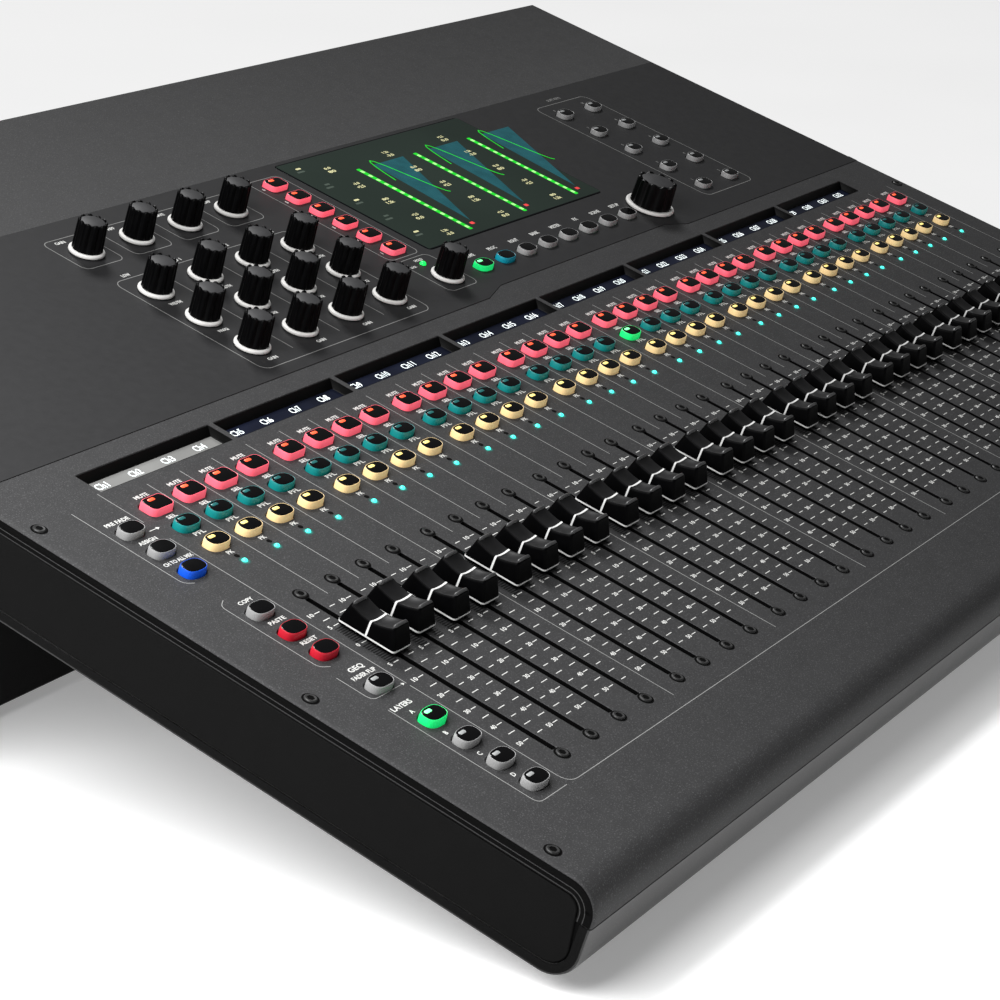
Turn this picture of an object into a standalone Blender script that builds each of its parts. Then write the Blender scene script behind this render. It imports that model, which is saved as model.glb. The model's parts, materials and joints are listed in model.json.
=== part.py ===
"""Digital mixing console: a tilted deck with 32 channel faders and a main fader, rotary knobs, silicone keys,
channel displays and a touchscreen, over a rear pod that holds the electronics and carries the sockets.

Dimensions are in millimetres; mesh_object turns them into metres. Deck coordinates have x across the console
from its centre, y up the slope from the line of the lower fader screws, and z out of the deck's surface.
"""
import math

import bmesh
import bpy
from mathutils import Vector
from mathutils.geometry import tessellate_polygon

MM = 0.001
GAP = 0.3

# Overall form.
CONSOLE_WIDTH = 785.0
DECK_TILT = math.radians(17.0)
SLAB_DEPTH = 40.6
SHEET = 1.6
CHEEK_THICKNESS = 3.0
FOOT_CLEARANCE = 6.4
HALF_WIDTH = CONSOLE_WIDTH / 2
INNER_HALF_WIDTH = HALF_WIDTH - CHEEK_THICKNESS - GAP

# Nose, in deck coordinates: an upper bend, a short flat front and a lower bend.
UPPER_BEND_Y, UPPER_BEND_RADIUS = -43.2, 12.0
LOWER_BEND_Y, LOWER_BEND_RADIUS = -41.6, 13.6
NOSE_SEAM_Z, NOSE_SEAM_GAP = -14.4, 0.6
BEND_STEPS = 6
NOSE_FRONT_Y = UPPER_BEND_Y - UPPER_BEND_RADIUS

# Deck sheets, in deck coordinates.
DECK_REAR_Y = 236.3
CONTROL_FRONT_Y = 236.8
CONTROL_REAR_Y = 387.0
COVER_FRONT_Y = 387.5
COVER_REAR_Y = 480.0
CONTROL_TOP = 0.3

# Channel strips.
CHANNELS = 32
CHANNEL_PITCH = 20.415
GROUP_EXTRA = 4.589
FIRST_CHANNEL_X = -331.6
FADER_TRAVEL_LOW_Y = 11.3
FADER_ZERO_Y = 86.8
SLOT_WIDTH, SLOT_FRONT_Y, SLOT_REAR_Y = 3.0, 3.5, 117.5
STEM_WIDTH, STEM_LENGTH = 1.6, 6.0
CAP_WIDTH, CAP_LENGTH = 11.7, 26.0
CAP_TOP_WIDTH, CAP_TOP_LENGTH = 10.2, 20.6
CAP_BOTTOM, CAP_PEAK, CAP_SHOULDER, CAP_SADDLE = 1.0, 12.0, 9.8, 8.9
CARRIAGE_LOW, CARRIAGE_HIGH = -9.0, -4.0
CARRIAGE_WIDTH, CARRIAGE_LENGTH = 10.0, 22.0
BANK_BAR_LENGTH = 12.0
SINGLE_FADERS = 4

# Silicone keys: every mat is a web under the sheet with keys that stand through it.
KEY_TOP = 3.6
KEY_CLEARANCE = 0.35
WEB_LOW, WEB_HIGH = -4.4, -3.2
WEB_MARGIN = 1.4
MUTE_KEY, OVAL_KEY = (12.4, 8.8), (11.0, 8.2)
MUTE_Y, SELECT_Y, CUE_Y = 192.0, 176.8, 161.8
FUNCTION_KEY_X = -356.1
FUNCTION_KEY_YS = (184.4, 169.3, 154.2, 121.4, 106.1, 91.1, 65.8, 41.6, 26.3, 11.3, -3.5)
MUTE_GROUP_X, MUTE_GROUP_Y, MUTE_GROUP_PITCH, MUTE_GROUPS = -29.3, 293.0, 14.95, 6
SCREEN_KEY_X, SCREEN_KEY_Y, SCREEN_KEY_PITCH, SCREEN_KEYS = 2.9, 259.4, 20.55, 8
SOFT_KEY_X, SOFT_KEY_Y, SOFT_KEY_PITCH_X, SOFT_KEY_PITCH_Y = 238.4, 262.0, 32.0, 24.0
SOFT_KEY_COLUMNS, SOFT_KEY_ROWS = 2, 5

# Channel displays: one bar with eight windows, one over each group of four channels.
DISPLAYS = 8
DISPLAY_X, DISPLAY_PITCH = -301.0, 86.25
DISPLAY_Y, DISPLAY_HALF_WIDTH, DISPLAY_HALF_HEIGHT = 217.5, 41.7, 7.5
DISPLAY_BAR_MARGIN, PANE_INSET = 44.0, 0.4
DISPLAY_BAR_HALF_HEIGHT, DISPLAY_BAR_LOW, DISPLAY_BAR_HIGH, PANE_TOP = 9.0, -6.4, -4.0, -1.2

# Touchscreen.
SCREEN_X, SCREEN_Y, SCREEN_WIDTH, SCREEN_HEIGHT = 75.4, 334.0, 170.0, 100.0
SCREEN_TOP, GLASS_LOW, SCREEN_LOW = 0.6, -1.3, -8.4
MODULE_WIDTH, MODULE_HEIGHT = 160.0, 92.0

# Rotary knobs.
KNOB_SIDES = 10
KNOB_RING_RADIUS, KNOB_BODY_RADIUS, KNOB_TOP_RADIUS = 8.5, 7.2, 6.8
KNOB_BOTTOM, KNOB_RING_TOP, KNOB_TOP = 0.9, 2.4, 17.0
SHAFT_RADIUS, SHAFT_HOLE_RADIUS, SHAFT_END = 3.0, 3.9, -4.2
PEQ_X, PEQ_PITCH_X, PEQ_COLUMNS = -184.4, 35.6, 4
PEQ_ROW_YS = (260.7, 288.7, 316.6)
BACK_ROW_Y = 358.2
SCREEN_KNOB = (-27.5, 260.9)
WHEEL_KNOB = (171.6, 259.5)
WHEEL_SCALE = 1.6

# Boards inside the slab.
ENCODER_SIZE, ENCODER_TOP = 12.0, -4.5
CONTROL_BOARD_LOW, CONTROL_BOARD_HIGH = -11.0, -9.4
CONTROL_BOARD_SPAN = (-203.0, 290.0, 249.0, 371.0)
KEY_BOARD_LOW, KEY_BOARD_HIGH = -8.2, -6.6
KEY_BOARD_ARM_X, KEY_BOARD_LEFT, KEY_BOARD_MARGIN = -347.0, -365.0, 9.0
KEY_BOARD_ARM_Y, KEY_BOARD_FRONT_Y, KEY_BOARD_REAR_Y = -12.0, 154.0, 200.0
CHASSIS_LOW, CHASSIS_HIGH, MECHANISM_TOP = -37.0, -35.5, -11.0
MECHANISM_WIDTH, MECHANISM_LENGTH, MECHANISM_Y = 12.0, 138.0, 61.0
CHASSIS_MARGIN, CHASSIS_HALF_LENGTH = 12.0, 74.0

# Rear pod, in world directions: distances back from the deck's origin line and heights above the table.
SLAB_END_Y = 262.0
POD_FRONT_Y = 255.0
POD_FRONT_RAKE = 18.0
REAR_FACE = 457.0
REAR_SHEET = 2.0
SOCKET_PITCH, SOCKET_SIDES = 25.5, 8
SOCKET_RADIUS, SOCKET_HOLE_RADIUS, SOCKET_FACE = 11.6, 12.1, 1.6
INPUT_COLUMNS, INPUT_ROW_ZS, INPUT_X = 16, (150.0, 116.0), -362.0
OUTPUT_COLUMNS, OUTPUT_Z, OUTPUT_X = 12, 150.0, 78.0
POCKET_RADIUS, POCKET_DEPTH, PORT_FACE = 8.6, 12.0, 0.4
NETWORK_XS, NETWORK_Z, NETWORK_SIZE, NETWORK_POCKET = (80.0, 106.0), 116.0, (20.0, 17.0), (12.0, 9.0)
SOCKET_BOARD_HIGH, SOCKET_BOARD_LOW = -16.0, -17.6
SOCKET_BOARD_SIDE, SOCKET_BOARD_END, PORT_BOARD_END = 14.0, 15.0, 12.0
INLET_X, INLET_Z, INLET_SIZE, INLET_POCKET = 352.0, 50.0, (32.0, 26.0), (24.0, 17.0)
ROCKER_X, ROCKER_WIDTH, ROCKER_HALF_HEIGHT, ROCKER_HORN = 318.0, 13.0, 8.5, 3.6
ROCKER_REST = math.radians(-10.0)
ROCKER_BACK, ROCKER_CHAMFER = -5.0, 3.0
FRAME_BORDER, FRAME_CLEARANCE = 3.5, 1.4
FRAME_FACE, FRAME_FLOOR, FRAME_BACK = 2.0, -15.0, -20.0
FOOT_RADIUS, FOOT_SIDES, FOOT_X = 11.0, 12, 330.0
FRONT_FOOT_Y, REAR_FOOT_Y = -12.0, 420.0
FOOT_SPREAD = 1.15

# Inside the rear pod, in world coordinates.
MAIN_BOARD_SPAN, MAIN_BOARD_LOW, MAIN_BOARD_HIGH = (-300.0, 190.0, 90.0, 215.0), 18.0, 19.6
CHIP_X, CHIP_Y, CHIP_PITCH_X, CHIP_PITCH_Y, CHIP_COLUMNS, CHIP_ROWS = -240.0, 120.0, 120.0, 55.0, 4, 2
CHIP_SIZE, CHIP_TOP = 34.0, 27.0
SUPPLY_SPAN, SUPPLY_LOW, SUPPLY_HIGH = (-372.0, -312.0, 90.0, 190.0), 10.0, 46.0


def to_world(y, z):
    """Distance back and height of a point in deck coordinates, both from the deck's origin line."""
    sine, cosine = math.sin(DECK_TILT), math.cos(DECK_TILT)
    return (y * cosine - z * sine, y * sine + z * cosine)


def to_deck_y(back, z):
    """Deck y of the point at a distance back from the deck's origin line on the plane z."""
    return (back + z * math.sin(DECK_TILT)) / math.cos(DECK_TILT)


LOWER_BEND_Z = -SLAB_DEPTH + LOWER_BEND_RADIUS
SLAB_LOWEST = to_world(LOWER_BEND_Y, LOWER_BEND_Z)[1] - LOWER_BEND_RADIUS
FRONT_MOST = to_world(UPPER_BEND_Y, -UPPER_BEND_RADIUS)[0] - UPPER_BEND_RADIUS
REAR_MOST = REAR_FACE + ROCKER_HORN * math.cos(ROCKER_REST) - ROCKER_HALF_HEIGHT * math.sin(ROCKER_REST)
DECK_BACK = -(FRONT_MOST + REAR_MOST) / 2
DECK_HEIGHT = FOOT_CLEARANCE - SLAB_LOWEST
REAR_FACE_Y = REAR_FACE + DECK_BACK


def place(y, z):
    """World Y and Z of a point in deck coordinates."""
    back, height = to_world(y, z)
    return (back + DECK_BACK, height + DECK_HEIGHT)


def channel_x(index):
    return FIRST_CHANNEL_X + CHANNEL_PITCH * index + GROUP_EXTRA * (index // 4)


STRIP_XS = [channel_x(index) for index in range(CHANNELS + 1)]


# Outlines: lists of (x, y) that run anticlockwise.

def rectangle(x, y, width, height):
    half_width, half_height = width / 2, height / 2
    return [(x - half_width, y - half_height), (x + half_width, y - half_height),
            (x + half_width, y + half_height), (x - half_width, y + half_height)]


def span(x_low, x_high, y_low, y_high):
    return [(x_low, y_low), (x_high, y_low), (x_high, y_high), (x_low, y_high)]


def regular(x, y, radius, sides):
    turns = [2 * math.pi * (side + 0.5) / sides for side in range(sides)]
    return [(x + radius * math.cos(turn), y + radius * math.sin(turn)) for turn in turns]


def arc(y, z, radius, start, end, steps=BEND_STEPS):
    """Points round a bend; angles in degrees from the +y direction."""
    angles = [math.radians(start + (end - start) * step / steps) for step in range(steps + 1)]
    return [(y + radius * math.cos(angle), z + radius * math.sin(angle)) for angle in angles]


def at(outline, z):
    return [(x, y, z) for x, y in outline]


def thicken(path, thickness):
    """Closed outline of a bent sheet: path is its outer side, and the metal lies to the path's left."""
    inner = []
    for index, point in enumerate(path):
        here = Vector(point)
        before = (here - Vector(path[index - 1])).normalized() if index else None
        after = (Vector(path[index + 1]) - here).normalized() if index + 1 < len(path) else None
        before, after = before or after, after or before
        normal = Vector((-before.y - after.y, before.x + after.x)).normalized()
        stretch = 1 / normal.dot(Vector((-before.y, before.x)))
        inner.append(tuple(here + normal * thickness * stretch))
    return path + inner[::-1]


class Body:
    """Collects the faces of one closed body, in millimetres."""

    def __init__(self):
        self.mesh = bmesh.new()

    def ring(self, points):
        return [self.mesh.verts.new(Vector(point)) for point in points]

    def face(self, verts):
        self.mesh.faces.new(verts)

    def wall(self, lower, upper, closed=True):
        for index in range(len(lower) if closed else len(lower) - 1):
            after = (index + 1) % len(lower)
            self.face((lower[index], lower[after], upper[after], upper[index]))

    def fill(self, loops):
        """The flat region inside the first loop and outside the others."""
        verts = [vert for loop in loops for vert in loop]
        for triangle in tessellate_polygon([[vert.co for vert in loop] for loop in loops]):
            self.face([verts[index] for index in triangle])

    def close(self, ring):
        """Closes a convex ring of an even number of points with a strip of four-sided faces."""
        count = len(ring)
        for index in range(count // 2 - 1):
            self.face((ring[index], ring[index + 1], ring[count - 2 - index], ring[count - 1 - index]))

    def tower(self, base, rings):
        """Raises (or sinks) a shape from the base ring through each next ring of points, and closes it."""
        for points in rings:
            following = self.ring(points)
            if len(following) == len(base):
                self.wall(base, following)
            else:
                self.fill([following, base])
            base = following
        self.close(base)


def mesh_object(name, body, material, parent=None):
    """Makes the object of one collected body, in metres, with its faces pointing out."""
    bmesh.ops.recalc_face_normals(body.mesh, faces=body.mesh.faces)
    bmesh.ops.scale(body.mesh, vec=(MM, MM, MM), verts=body.mesh.verts)
    mesh = bpy.data.meshes.new(name)
    body.mesh.to_mesh(mesh)
    body.mesh.free()
    mesh.materials.append(material)
    part = bpy.data.objects.new(name, mesh)
    part.parent = parent
    bpy.context.collection.objects.link(part)
    return part


def relief(outline, low, high, holes=(), towers=()):
    """A plate from low to high with holes through it and towers on its top.

    A tower is a list of rings of points. The first ring lies on the plate's top, and the others may rise from
    it, step in or out, or sink again into a pocket.
    """
    body = Body()
    bottom, top = body.ring(at(outline, low)), body.ring(at(outline, high))
    body.wall(bottom, top)
    bottom_loops, top_loops = [bottom], [top]
    for hole in holes:
        bottom_loops.append(body.ring(at(hole, low)))
        top_loops.append(body.ring(at(hole, high)))
        body.wall(bottom_loops[-1], top_loops[-1])
    for rings in towers:
        base = body.ring(rings[0])
        top_loops.append(base)
        body.tower(base, rings[1:])
    body.fill(top_loops)
    body.fill(bottom_loops)
    return body


def prism_x(outline, x_low, x_high):
    """Extrudes an outline of (y, z) points across the console."""
    body = Body()
    low = body.ring([(x_low, y, z) for y, z in outline])
    high = body.ring([(x_high, y, z) for y, z in outline])
    body.wall(low, high)
    body.fill([low])
    body.fill([high])
    return body


def finish(name, colour, roughness, metallic=0.0):
    material = bpy.data.materials.new(name)
    material.use_nodes = True
    shader = material.node_tree.nodes["Principled BSDF"]
    shader.inputs["Base Color"].default_value = (*colour, 1.0)
    shader.inputs["Roughness"].default_value = roughness
    shader.inputs["Metallic"].default_value = metallic
    return material


def make_finishes():
    return {
        "deck": finish("deck_powder_coat", (0.048, 0.048, 0.048), 0.5, 0.3),
        "overlay": finish("control_overlay", (0.031, 0.031, 0.032), 0.4),
        "case": finish("case_powder_coat", (0.012, 0.012, 0.012), 0.55, 0.3),
        "display": finish("display", (0.01, 0.012, 0.03), 0.15),
        "cap": finish("fader_cap", (0.008, 0.008, 0.008), 0.35),
        "knob": finish("knob", (0.01, 0.01, 0.01), 0.35),
        "mute": finish("mute_silicone", (1.0, 0.11, 0.17), 0.4),
        "select": finish("select_silicone", (0.0, 0.2, 0.21), 0.4),
        "cue": finish("cue_silicone", (0.87, 0.64, 0.22), 0.4),
        "grey": finish("grey_silicone", (0.45, 0.46, 0.47), 0.4),
        "board": finish("circuit_board", (0.02, 0.11, 0.05), 0.5),
        "steel": finish("plated_steel", (0.5, 0.5, 0.5), 0.35, 1.0),
        "socket": finish("socket_shell", (0.015, 0.015, 0.015), 0.4),
        "rubber": finish("foot_rubber", (0.01, 0.01, 0.01), 0.8),
    }


# Keys.

def grid(x, y, pitch_x, pitch_y, columns, rows):
    return [(x + pitch_x * column, y + pitch_y * row) for row in range(rows) for column in range(columns)]


KEY_MATS = {
    "mute_keys": ([(x, MUTE_Y) for x in STRIP_XS], MUTE_KEY, "mute"),
    "select_keys": ([(x, SELECT_Y) for x in STRIP_XS], OVAL_KEY, "select"),
    "cue_keys": ([(x, CUE_Y) for x in STRIP_XS], OVAL_KEY, "cue"),
    "function_keys": ([(FUNCTION_KEY_X, y) for y in FUNCTION_KEY_YS], OVAL_KEY, "grey"),
    "mute_group_keys": (grid(MUTE_GROUP_X, MUTE_GROUP_Y, 0, MUTE_GROUP_PITCH, 1, MUTE_GROUPS),
                        MUTE_KEY, "mute"),
    "screen_keys": (grid(SCREEN_KEY_X, SCREEN_KEY_Y, SCREEN_KEY_PITCH, 0, SCREEN_KEYS, 1), OVAL_KEY, "grey"),
    "soft_keys": (grid(SOFT_KEY_X, SOFT_KEY_Y, SOFT_KEY_PITCH_X, SOFT_KEY_PITCH_Y,
                       SOFT_KEY_COLUMNS, SOFT_KEY_ROWS), OVAL_KEY, "grey"),
}
CHANNEL_MATS = ("mute_keys", "select_keys", "cue_keys", "function_keys")


def key_holes(mats):
    """Holes that the keys of the named mats stand through."""
    return [rectangle(x, y, width + 2 * KEY_CLEARANCE, height + 2 * KEY_CLEARANCE)
            for mat in mats for centres, (width, height), _ in [KEY_MATS[mat]] for x, y in centres]


def make_key_mat(name, material, deck):
    centres, (width, height), _ = KEY_MATS[name]
    xs, ys = [x for x, _ in centres], [y for _, y in centres]
    reach_x, reach_y = width / 2 + WEB_MARGIN, height / 2 + WEB_MARGIN
    web = span(min(xs) - reach_x, max(xs) + reach_x, min(ys) - reach_y, max(ys) + reach_y)
    keys = [[at(rectangle(x, y, width, height), z) for z in (WEB_HIGH, KEY_TOP)] for x, y in centres]
    mesh_object(name, relief(web, WEB_LOW, WEB_HIGH, towers=keys), material, deck)


# Faders.

def cap_outline(width, length):
    """Ten points round a cap: five up its right side and five back down its left."""
    steps = (-0.5, -0.25, 0.0, 0.25, 0.5)
    return [(width / 2, length * step) for step in steps] + [(-width / 2, -length * step) for step in steps]


def cap_tower(x):
    """Stem and saddle-topped cap of the fader at x, from the carriage up."""
    stem = rectangle(x, 0, STEM_WIDTH, STEM_LENGTH)
    base = [(x + side, along) for side, along in cap_outline(CAP_WIDTH, CAP_LENGTH)]
    heights = (CAP_PEAK, CAP_SHOULDER, CAP_SADDLE, CAP_SHOULDER, CAP_PEAK)
    top = [(x + side, along, z)
           for (side, along), z in zip(cap_outline(CAP_TOP_WIDTH, CAP_TOP_LENGTH), heights * 2)]
    return [at(stem, CARRIAGE_HIGH), at(stem, CAP_BOTTOM), at(base, CAP_BOTTOM), top]


def make_fader(name, strip_xs, material, deck):
    """One fader, or a bank whose stems stand on one bar, with its origin on its first stem."""
    first = strip_xs[0]
    offsets = [x - first for x in strip_xs]
    length = CARRIAGE_LENGTH if len(offsets) == 1 else BANK_BAR_LENGTH
    carriage = span(-CARRIAGE_WIDTH / 2, offsets[-1] + CARRIAGE_WIDTH / 2, -length / 2, length / 2)
    body = relief(carriage, CARRIAGE_LOW, CARRIAGE_HIGH, towers=[cap_tower(x) for x in offsets])
    fader = mesh_object(name, body, material, deck)
    fader.location = Vector((first, FADER_ZERO_Y, 0)) * MM


def make_faders(material, deck):
    for index in range(SINGLE_FADERS):
        make_fader(f"fader_{index + 1:02d}", [STRIP_XS[index]], material, deck)
    for first in range(SINGLE_FADERS, CHANNELS, 4):
        make_fader(f"fader_bank_{first + 1:02d}_{first + 4:02d}", STRIP_XS[first:first + 4], material, deck)
    make_fader("main_fader", [STRIP_XS[-1]], material, deck)


# Knobs.

def knob_places():
    """Name, x, y and size of every knob."""
    places = [(f"knob_{row + 1}_{column + 1}", PEQ_X + PEQ_PITCH_X * column, y, 1.0)
              for row, y in enumerate(PEQ_ROW_YS) for column in range(PEQ_COLUMNS)]
    places += [(f"knob_back_{column + 1}", PEQ_X + PEQ_PITCH_X * column, BACK_ROW_Y, 1.0)
               for column in range(PEQ_COLUMNS)]
    return places + [("screen_knob", *SCREEN_KNOB, 1.0), ("wheel_knob", *WHEEL_KNOB, WHEEL_SCALE)]


def knob_body(size):
    """A stack of round steps from the end of the shaft to the top of the grip."""
    steps = ((SHAFT_RADIUS, KNOB_BOTTOM), (KNOB_RING_RADIUS * size, KNOB_BOTTOM),
             (KNOB_RING_RADIUS * size, KNOB_RING_TOP), (KNOB_BODY_RADIUS * size, KNOB_RING_TOP),
             (KNOB_TOP_RADIUS * size, KNOB_TOP))
    body = Body()
    base = body.ring(at(regular(0, 0, SHAFT_RADIUS, KNOB_SIDES), SHAFT_END))
    body.close(base)
    body.tower(base, [at(regular(0, 0, radius, KNOB_SIDES), z) for radius, z in steps])
    return body


def make_knobs(material, deck):
    for name, x, y, size in knob_places():
        knob = mesh_object(name, knob_body(size), material, deck)
        knob.location = Vector((x, y, 0)) * MM


# Deck sheets and what is fixed under them.

def make_deck_panel(material, deck):
    """The sheet of the fader area, bent down at the front to the nose seam."""
    body = Body()
    front_outer = arc(UPPER_BEND_Y, -UPPER_BEND_RADIUS, UPPER_BEND_RADIUS, 90, 180)
    front_inner = arc(UPPER_BEND_Y, -UPPER_BEND_RADIUS, UPPER_BEND_RADIUS - SHEET, 90, 180)
    front_outer.append((NOSE_FRONT_Y, NOSE_SEAM_Z))
    front_inner.append((NOSE_FRONT_Y + SHEET, NOSE_SEAM_Z))
    edges = {}
    for side in (-HALF_WIDTH, HALF_WIDTH):
        outer = body.ring([(side, y, z) for y, z in [(DECK_REAR_Y, 0)] + front_outer])
        inner = body.ring([(side, y, z) for y, z in [(DECK_REAR_Y, -SHEET)] + front_inner])
        body.wall(outer, inner, closed=False)
        edges[side] = (outer, inner)
    (left_outer, left_inner), (right_outer, right_inner) = edges.values()
    body.wall(left_outer[1:], right_outer[1:], closed=False)
    body.wall(left_inner[1:], right_inner[1:], closed=False)
    for end in (0, -1):
        body.face((left_outer[end], right_outer[end], right_inner[end], left_inner[end]))
    top_loops = [[left_outer[1], right_outer[1], right_outer[0], left_outer[0]]]
    bottom_loops = [[left_inner[1], right_inner[1], right_inner[0], left_inner[0]]]
    slots = [span(x - SLOT_WIDTH / 2, x + SLOT_WIDTH / 2, SLOT_FRONT_Y, SLOT_REAR_Y) for x in STRIP_XS]
    for hole in slots + key_holes(CHANNEL_MATS) + display_windows(0.0):
        top_loops.append(body.ring(at(hole, 0)))
        bottom_loops.append(body.ring(at(hole, -SHEET)))
        body.wall(bottom_loops[-1], top_loops[-1])
    body.fill(top_loops)
    body.fill(bottom_loops)
    mesh_object("deck_panel", body, material, deck)


def display_windows(inset):
    return [rectangle(DISPLAY_X + DISPLAY_PITCH * index, DISPLAY_Y,
                      2 * (DISPLAY_HALF_WIDTH - inset), 2 * (DISPLAY_HALF_HEIGHT - inset))
            for index in range(DISPLAYS)]


def make_control_panel(material, deck):
    shaft_holes = [regular(x, y, SHAFT_HOLE_RADIUS, 8) for _, x, y, _ in knob_places()]
    screen_hole = rectangle(SCREEN_X, SCREEN_Y, SCREEN_WIDTH + 2 * GAP, SCREEN_HEIGHT + 2 * GAP)
    holes = shaft_holes + [screen_hole] + key_holes([mat for mat in KEY_MATS if mat not in CHANNEL_MATS])
    outline = span(-HALF_WIDTH, HALF_WIDTH, CONTROL_FRONT_Y, CONTROL_REAR_Y)
    mesh_object("control_panel", relief(outline, -SHEET, CONTROL_TOP, holes), material, deck)


def make_displays(material, deck):
    last = DISPLAY_X + DISPLAY_PITCH * (DISPLAYS - 1)
    bar = span(DISPLAY_X - DISPLAY_BAR_MARGIN, last + DISPLAY_BAR_MARGIN,
               DISPLAY_Y - DISPLAY_BAR_HALF_HEIGHT, DISPLAY_Y + DISPLAY_BAR_HALF_HEIGHT)
    panes = [[at(window, z) for z in (DISPLAY_BAR_HIGH, PANE_TOP)] for window in display_windows(PANE_INSET)]
    body = relief(bar, DISPLAY_BAR_LOW, DISPLAY_BAR_HIGH, towers=panes)
    mesh_object("strip_displays", body, material, deck)


def make_touchscreen(material, deck):
    module = rectangle(SCREEN_X, SCREEN_Y, MODULE_WIDTH, MODULE_HEIGHT)
    glass = rectangle(SCREEN_X, SCREEN_Y, SCREEN_WIDTH, SCREEN_HEIGHT)
    body = Body()
    base = body.ring(at(module, SCREEN_LOW))
    body.close(base)
    body.tower(base, [at(module, GLASS_LOW), at(glass, GLASS_LOW), at(glass, SCREEN_TOP)])
    mesh_object("touchscreen", body, material, deck)


def make_boards(finishes, deck):
    levels = (CONTROL_BOARD_HIGH, ENCODER_TOP)
    encoders = [[at(rectangle(x, y, ENCODER_SIZE, ENCODER_SIZE), z) for z in levels]
                for _, x, y, _ in knob_places()]
    outline = span(*CONTROL_BOARD_SPAN)
    control_board = relief(outline, CONTROL_BOARD_LOW, CONTROL_BOARD_HIGH, towers=encoders)
    mesh_object("control_board", control_board, finishes["board"], deck)

    right = STRIP_XS[-1] + KEY_BOARD_MARGIN
    outline = [(KEY_BOARD_LEFT, KEY_BOARD_ARM_Y), (KEY_BOARD_ARM_X, KEY_BOARD_ARM_Y),
               (KEY_BOARD_ARM_X, KEY_BOARD_FRONT_Y), (right, KEY_BOARD_FRONT_Y),
               (right, KEY_BOARD_REAR_Y), (KEY_BOARD_LEFT, KEY_BOARD_REAR_Y)]
    mesh_object("key_board", relief(outline, KEY_BOARD_LOW, KEY_BOARD_HIGH), finishes["board"], deck)

    mechanisms = [[at(rectangle(x, MECHANISM_Y, MECHANISM_WIDTH, MECHANISM_LENGTH), z)
                   for z in (CHASSIS_HIGH, MECHANISM_TOP)] for x in STRIP_XS]
    outline = span(STRIP_XS[0] - CHASSIS_MARGIN, STRIP_XS[-1] + CHASSIS_MARGIN,
                   MECHANISM_Y - CHASSIS_HALF_LENGTH, MECHANISM_Y + CHASSIS_HALF_LENGTH)
    chassis = relief(outline, CHASSIS_LOW, CHASSIS_HIGH, towers=mechanisms)
    mesh_object("fader_mechanisms", chassis, finishes["steel"], deck)


# Case.

def pod_front():
    """World Y and Z of the rear pod's lower and upper front edges."""
    top_y, top_z = place(POD_FRONT_Y, -SLAB_DEPTH - GAP)
    return (top_y + POD_FRONT_RAKE, FOOT_CLEARANCE), (top_y, top_z)


def make_case(finishes, deck):
    lower_bend = arc(LOWER_BEND_Y, LOWER_BEND_Z, LOWER_BEND_RADIUS, 180, 270)
    path = [(NOSE_FRONT_Y, NOSE_SEAM_Z - NOSE_SEAM_GAP)] + lower_bend + [(SLAB_END_Y, -SLAB_DEPTH)]
    front_tray = prism_x(thicken(path, SHEET), -INNER_HALF_WIDTH, INNER_HALF_WIDTH)
    mesh_object("front_tray", front_tray, finishes["case"], deck)

    low, high = pod_front()
    inside_rear = REAR_FACE_Y - REAR_SHEET - GAP
    path = [high, low, (inside_rear, FOOT_CLEARANCE)]
    pod_tray = prism_x(thicken(path, SHEET), -INNER_HALF_WIDTH, INNER_HALF_WIDTH)
    mesh_object("pod_tray", pod_tray, finishes["case"])

    under = -SHEET - GAP
    upper_bend = arc(UPPER_BEND_Y, -UPPER_BEND_RADIUS, UPPER_BEND_RADIUS + under, 180, 90)
    deck_line = [(NOSE_FRONT_Y, NOSE_SEAM_Z - GAP), (NOSE_FRONT_Y - under, NOSE_SEAM_Z - GAP)]
    deck_line += upper_bend + [(to_deck_y(REAR_FACE, under), under)]
    outline = [place(y, z) for y, z in deck_line] + [(REAR_FACE_Y, FOOT_CLEARANCE), low]
    outline += [place(POD_FRONT_Y, -SLAB_DEPTH)] + [place(y, z) for y, z in reversed(lower_bend)]
    inner = HALF_WIDTH - CHEEK_THICKNESS
    mesh_object("left_cheek", prism_x(outline, -HALF_WIDTH, -inner), finishes["case"])
    mesh_object("right_cheek", prism_x(outline, inner, HALF_WIDTH), finishes["case"])

    cover = relief(span(-HALF_WIDTH, HALF_WIDTH, COVER_FRONT_Y, COVER_REAR_Y), -SHEET, 0)
    mesh_object("rear_cover", cover, finishes["deck"], deck)


def make_feet(material):
    """Front feet reach up to the sloping slab, rear feet to the level pod."""
    for side, x in (("left", -FOOT_X), ("right", FOOT_X)):
        for end, y in (("front", FRONT_FOOT_Y + DECK_BACK), ("rear", REAR_FOOT_Y + DECK_BACK)):
            bottom = at(regular(x, y, FOOT_RADIUS, FOOT_SIDES), 0)
            top = regular(x, y, FOOT_RADIUS * FOOT_SPREAD, FOOT_SIDES)
            if end == "front":
                slab = place(0, -SLAB_DEPTH - GAP)
                top = [(px, py, slab[1] + (py - slab[0]) * math.tan(DECK_TILT)) for px, py in top]
            else:
                top = at(top, FOOT_CLEARANCE - GAP)
            body = Body()
            base = body.ring(bottom)
            body.close(base)
            body.tower(base, [top])
            mesh_object(f"foot_{end}_{side}", body, material)


# Rear panel. Its own x runs left to right as seen from behind, y is height and z points back.

def make_rear_object(name, body, material):
    part = mesh_object(name, body, material)
    part.location = Vector((0, REAR_FACE_Y, 0)) * MM
    part.rotation_euler = (math.radians(90), 0, math.radians(180))
    return part


def input_places():
    return [(INPUT_X + SOCKET_PITCH * column, z) for z in INPUT_ROW_ZS for column in range(INPUT_COLUMNS)]


def output_places():
    return [(OUTPUT_X + SOCKET_PITCH * column, OUTPUT_Z) for column in range(OUTPUT_COLUMNS)]


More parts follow.
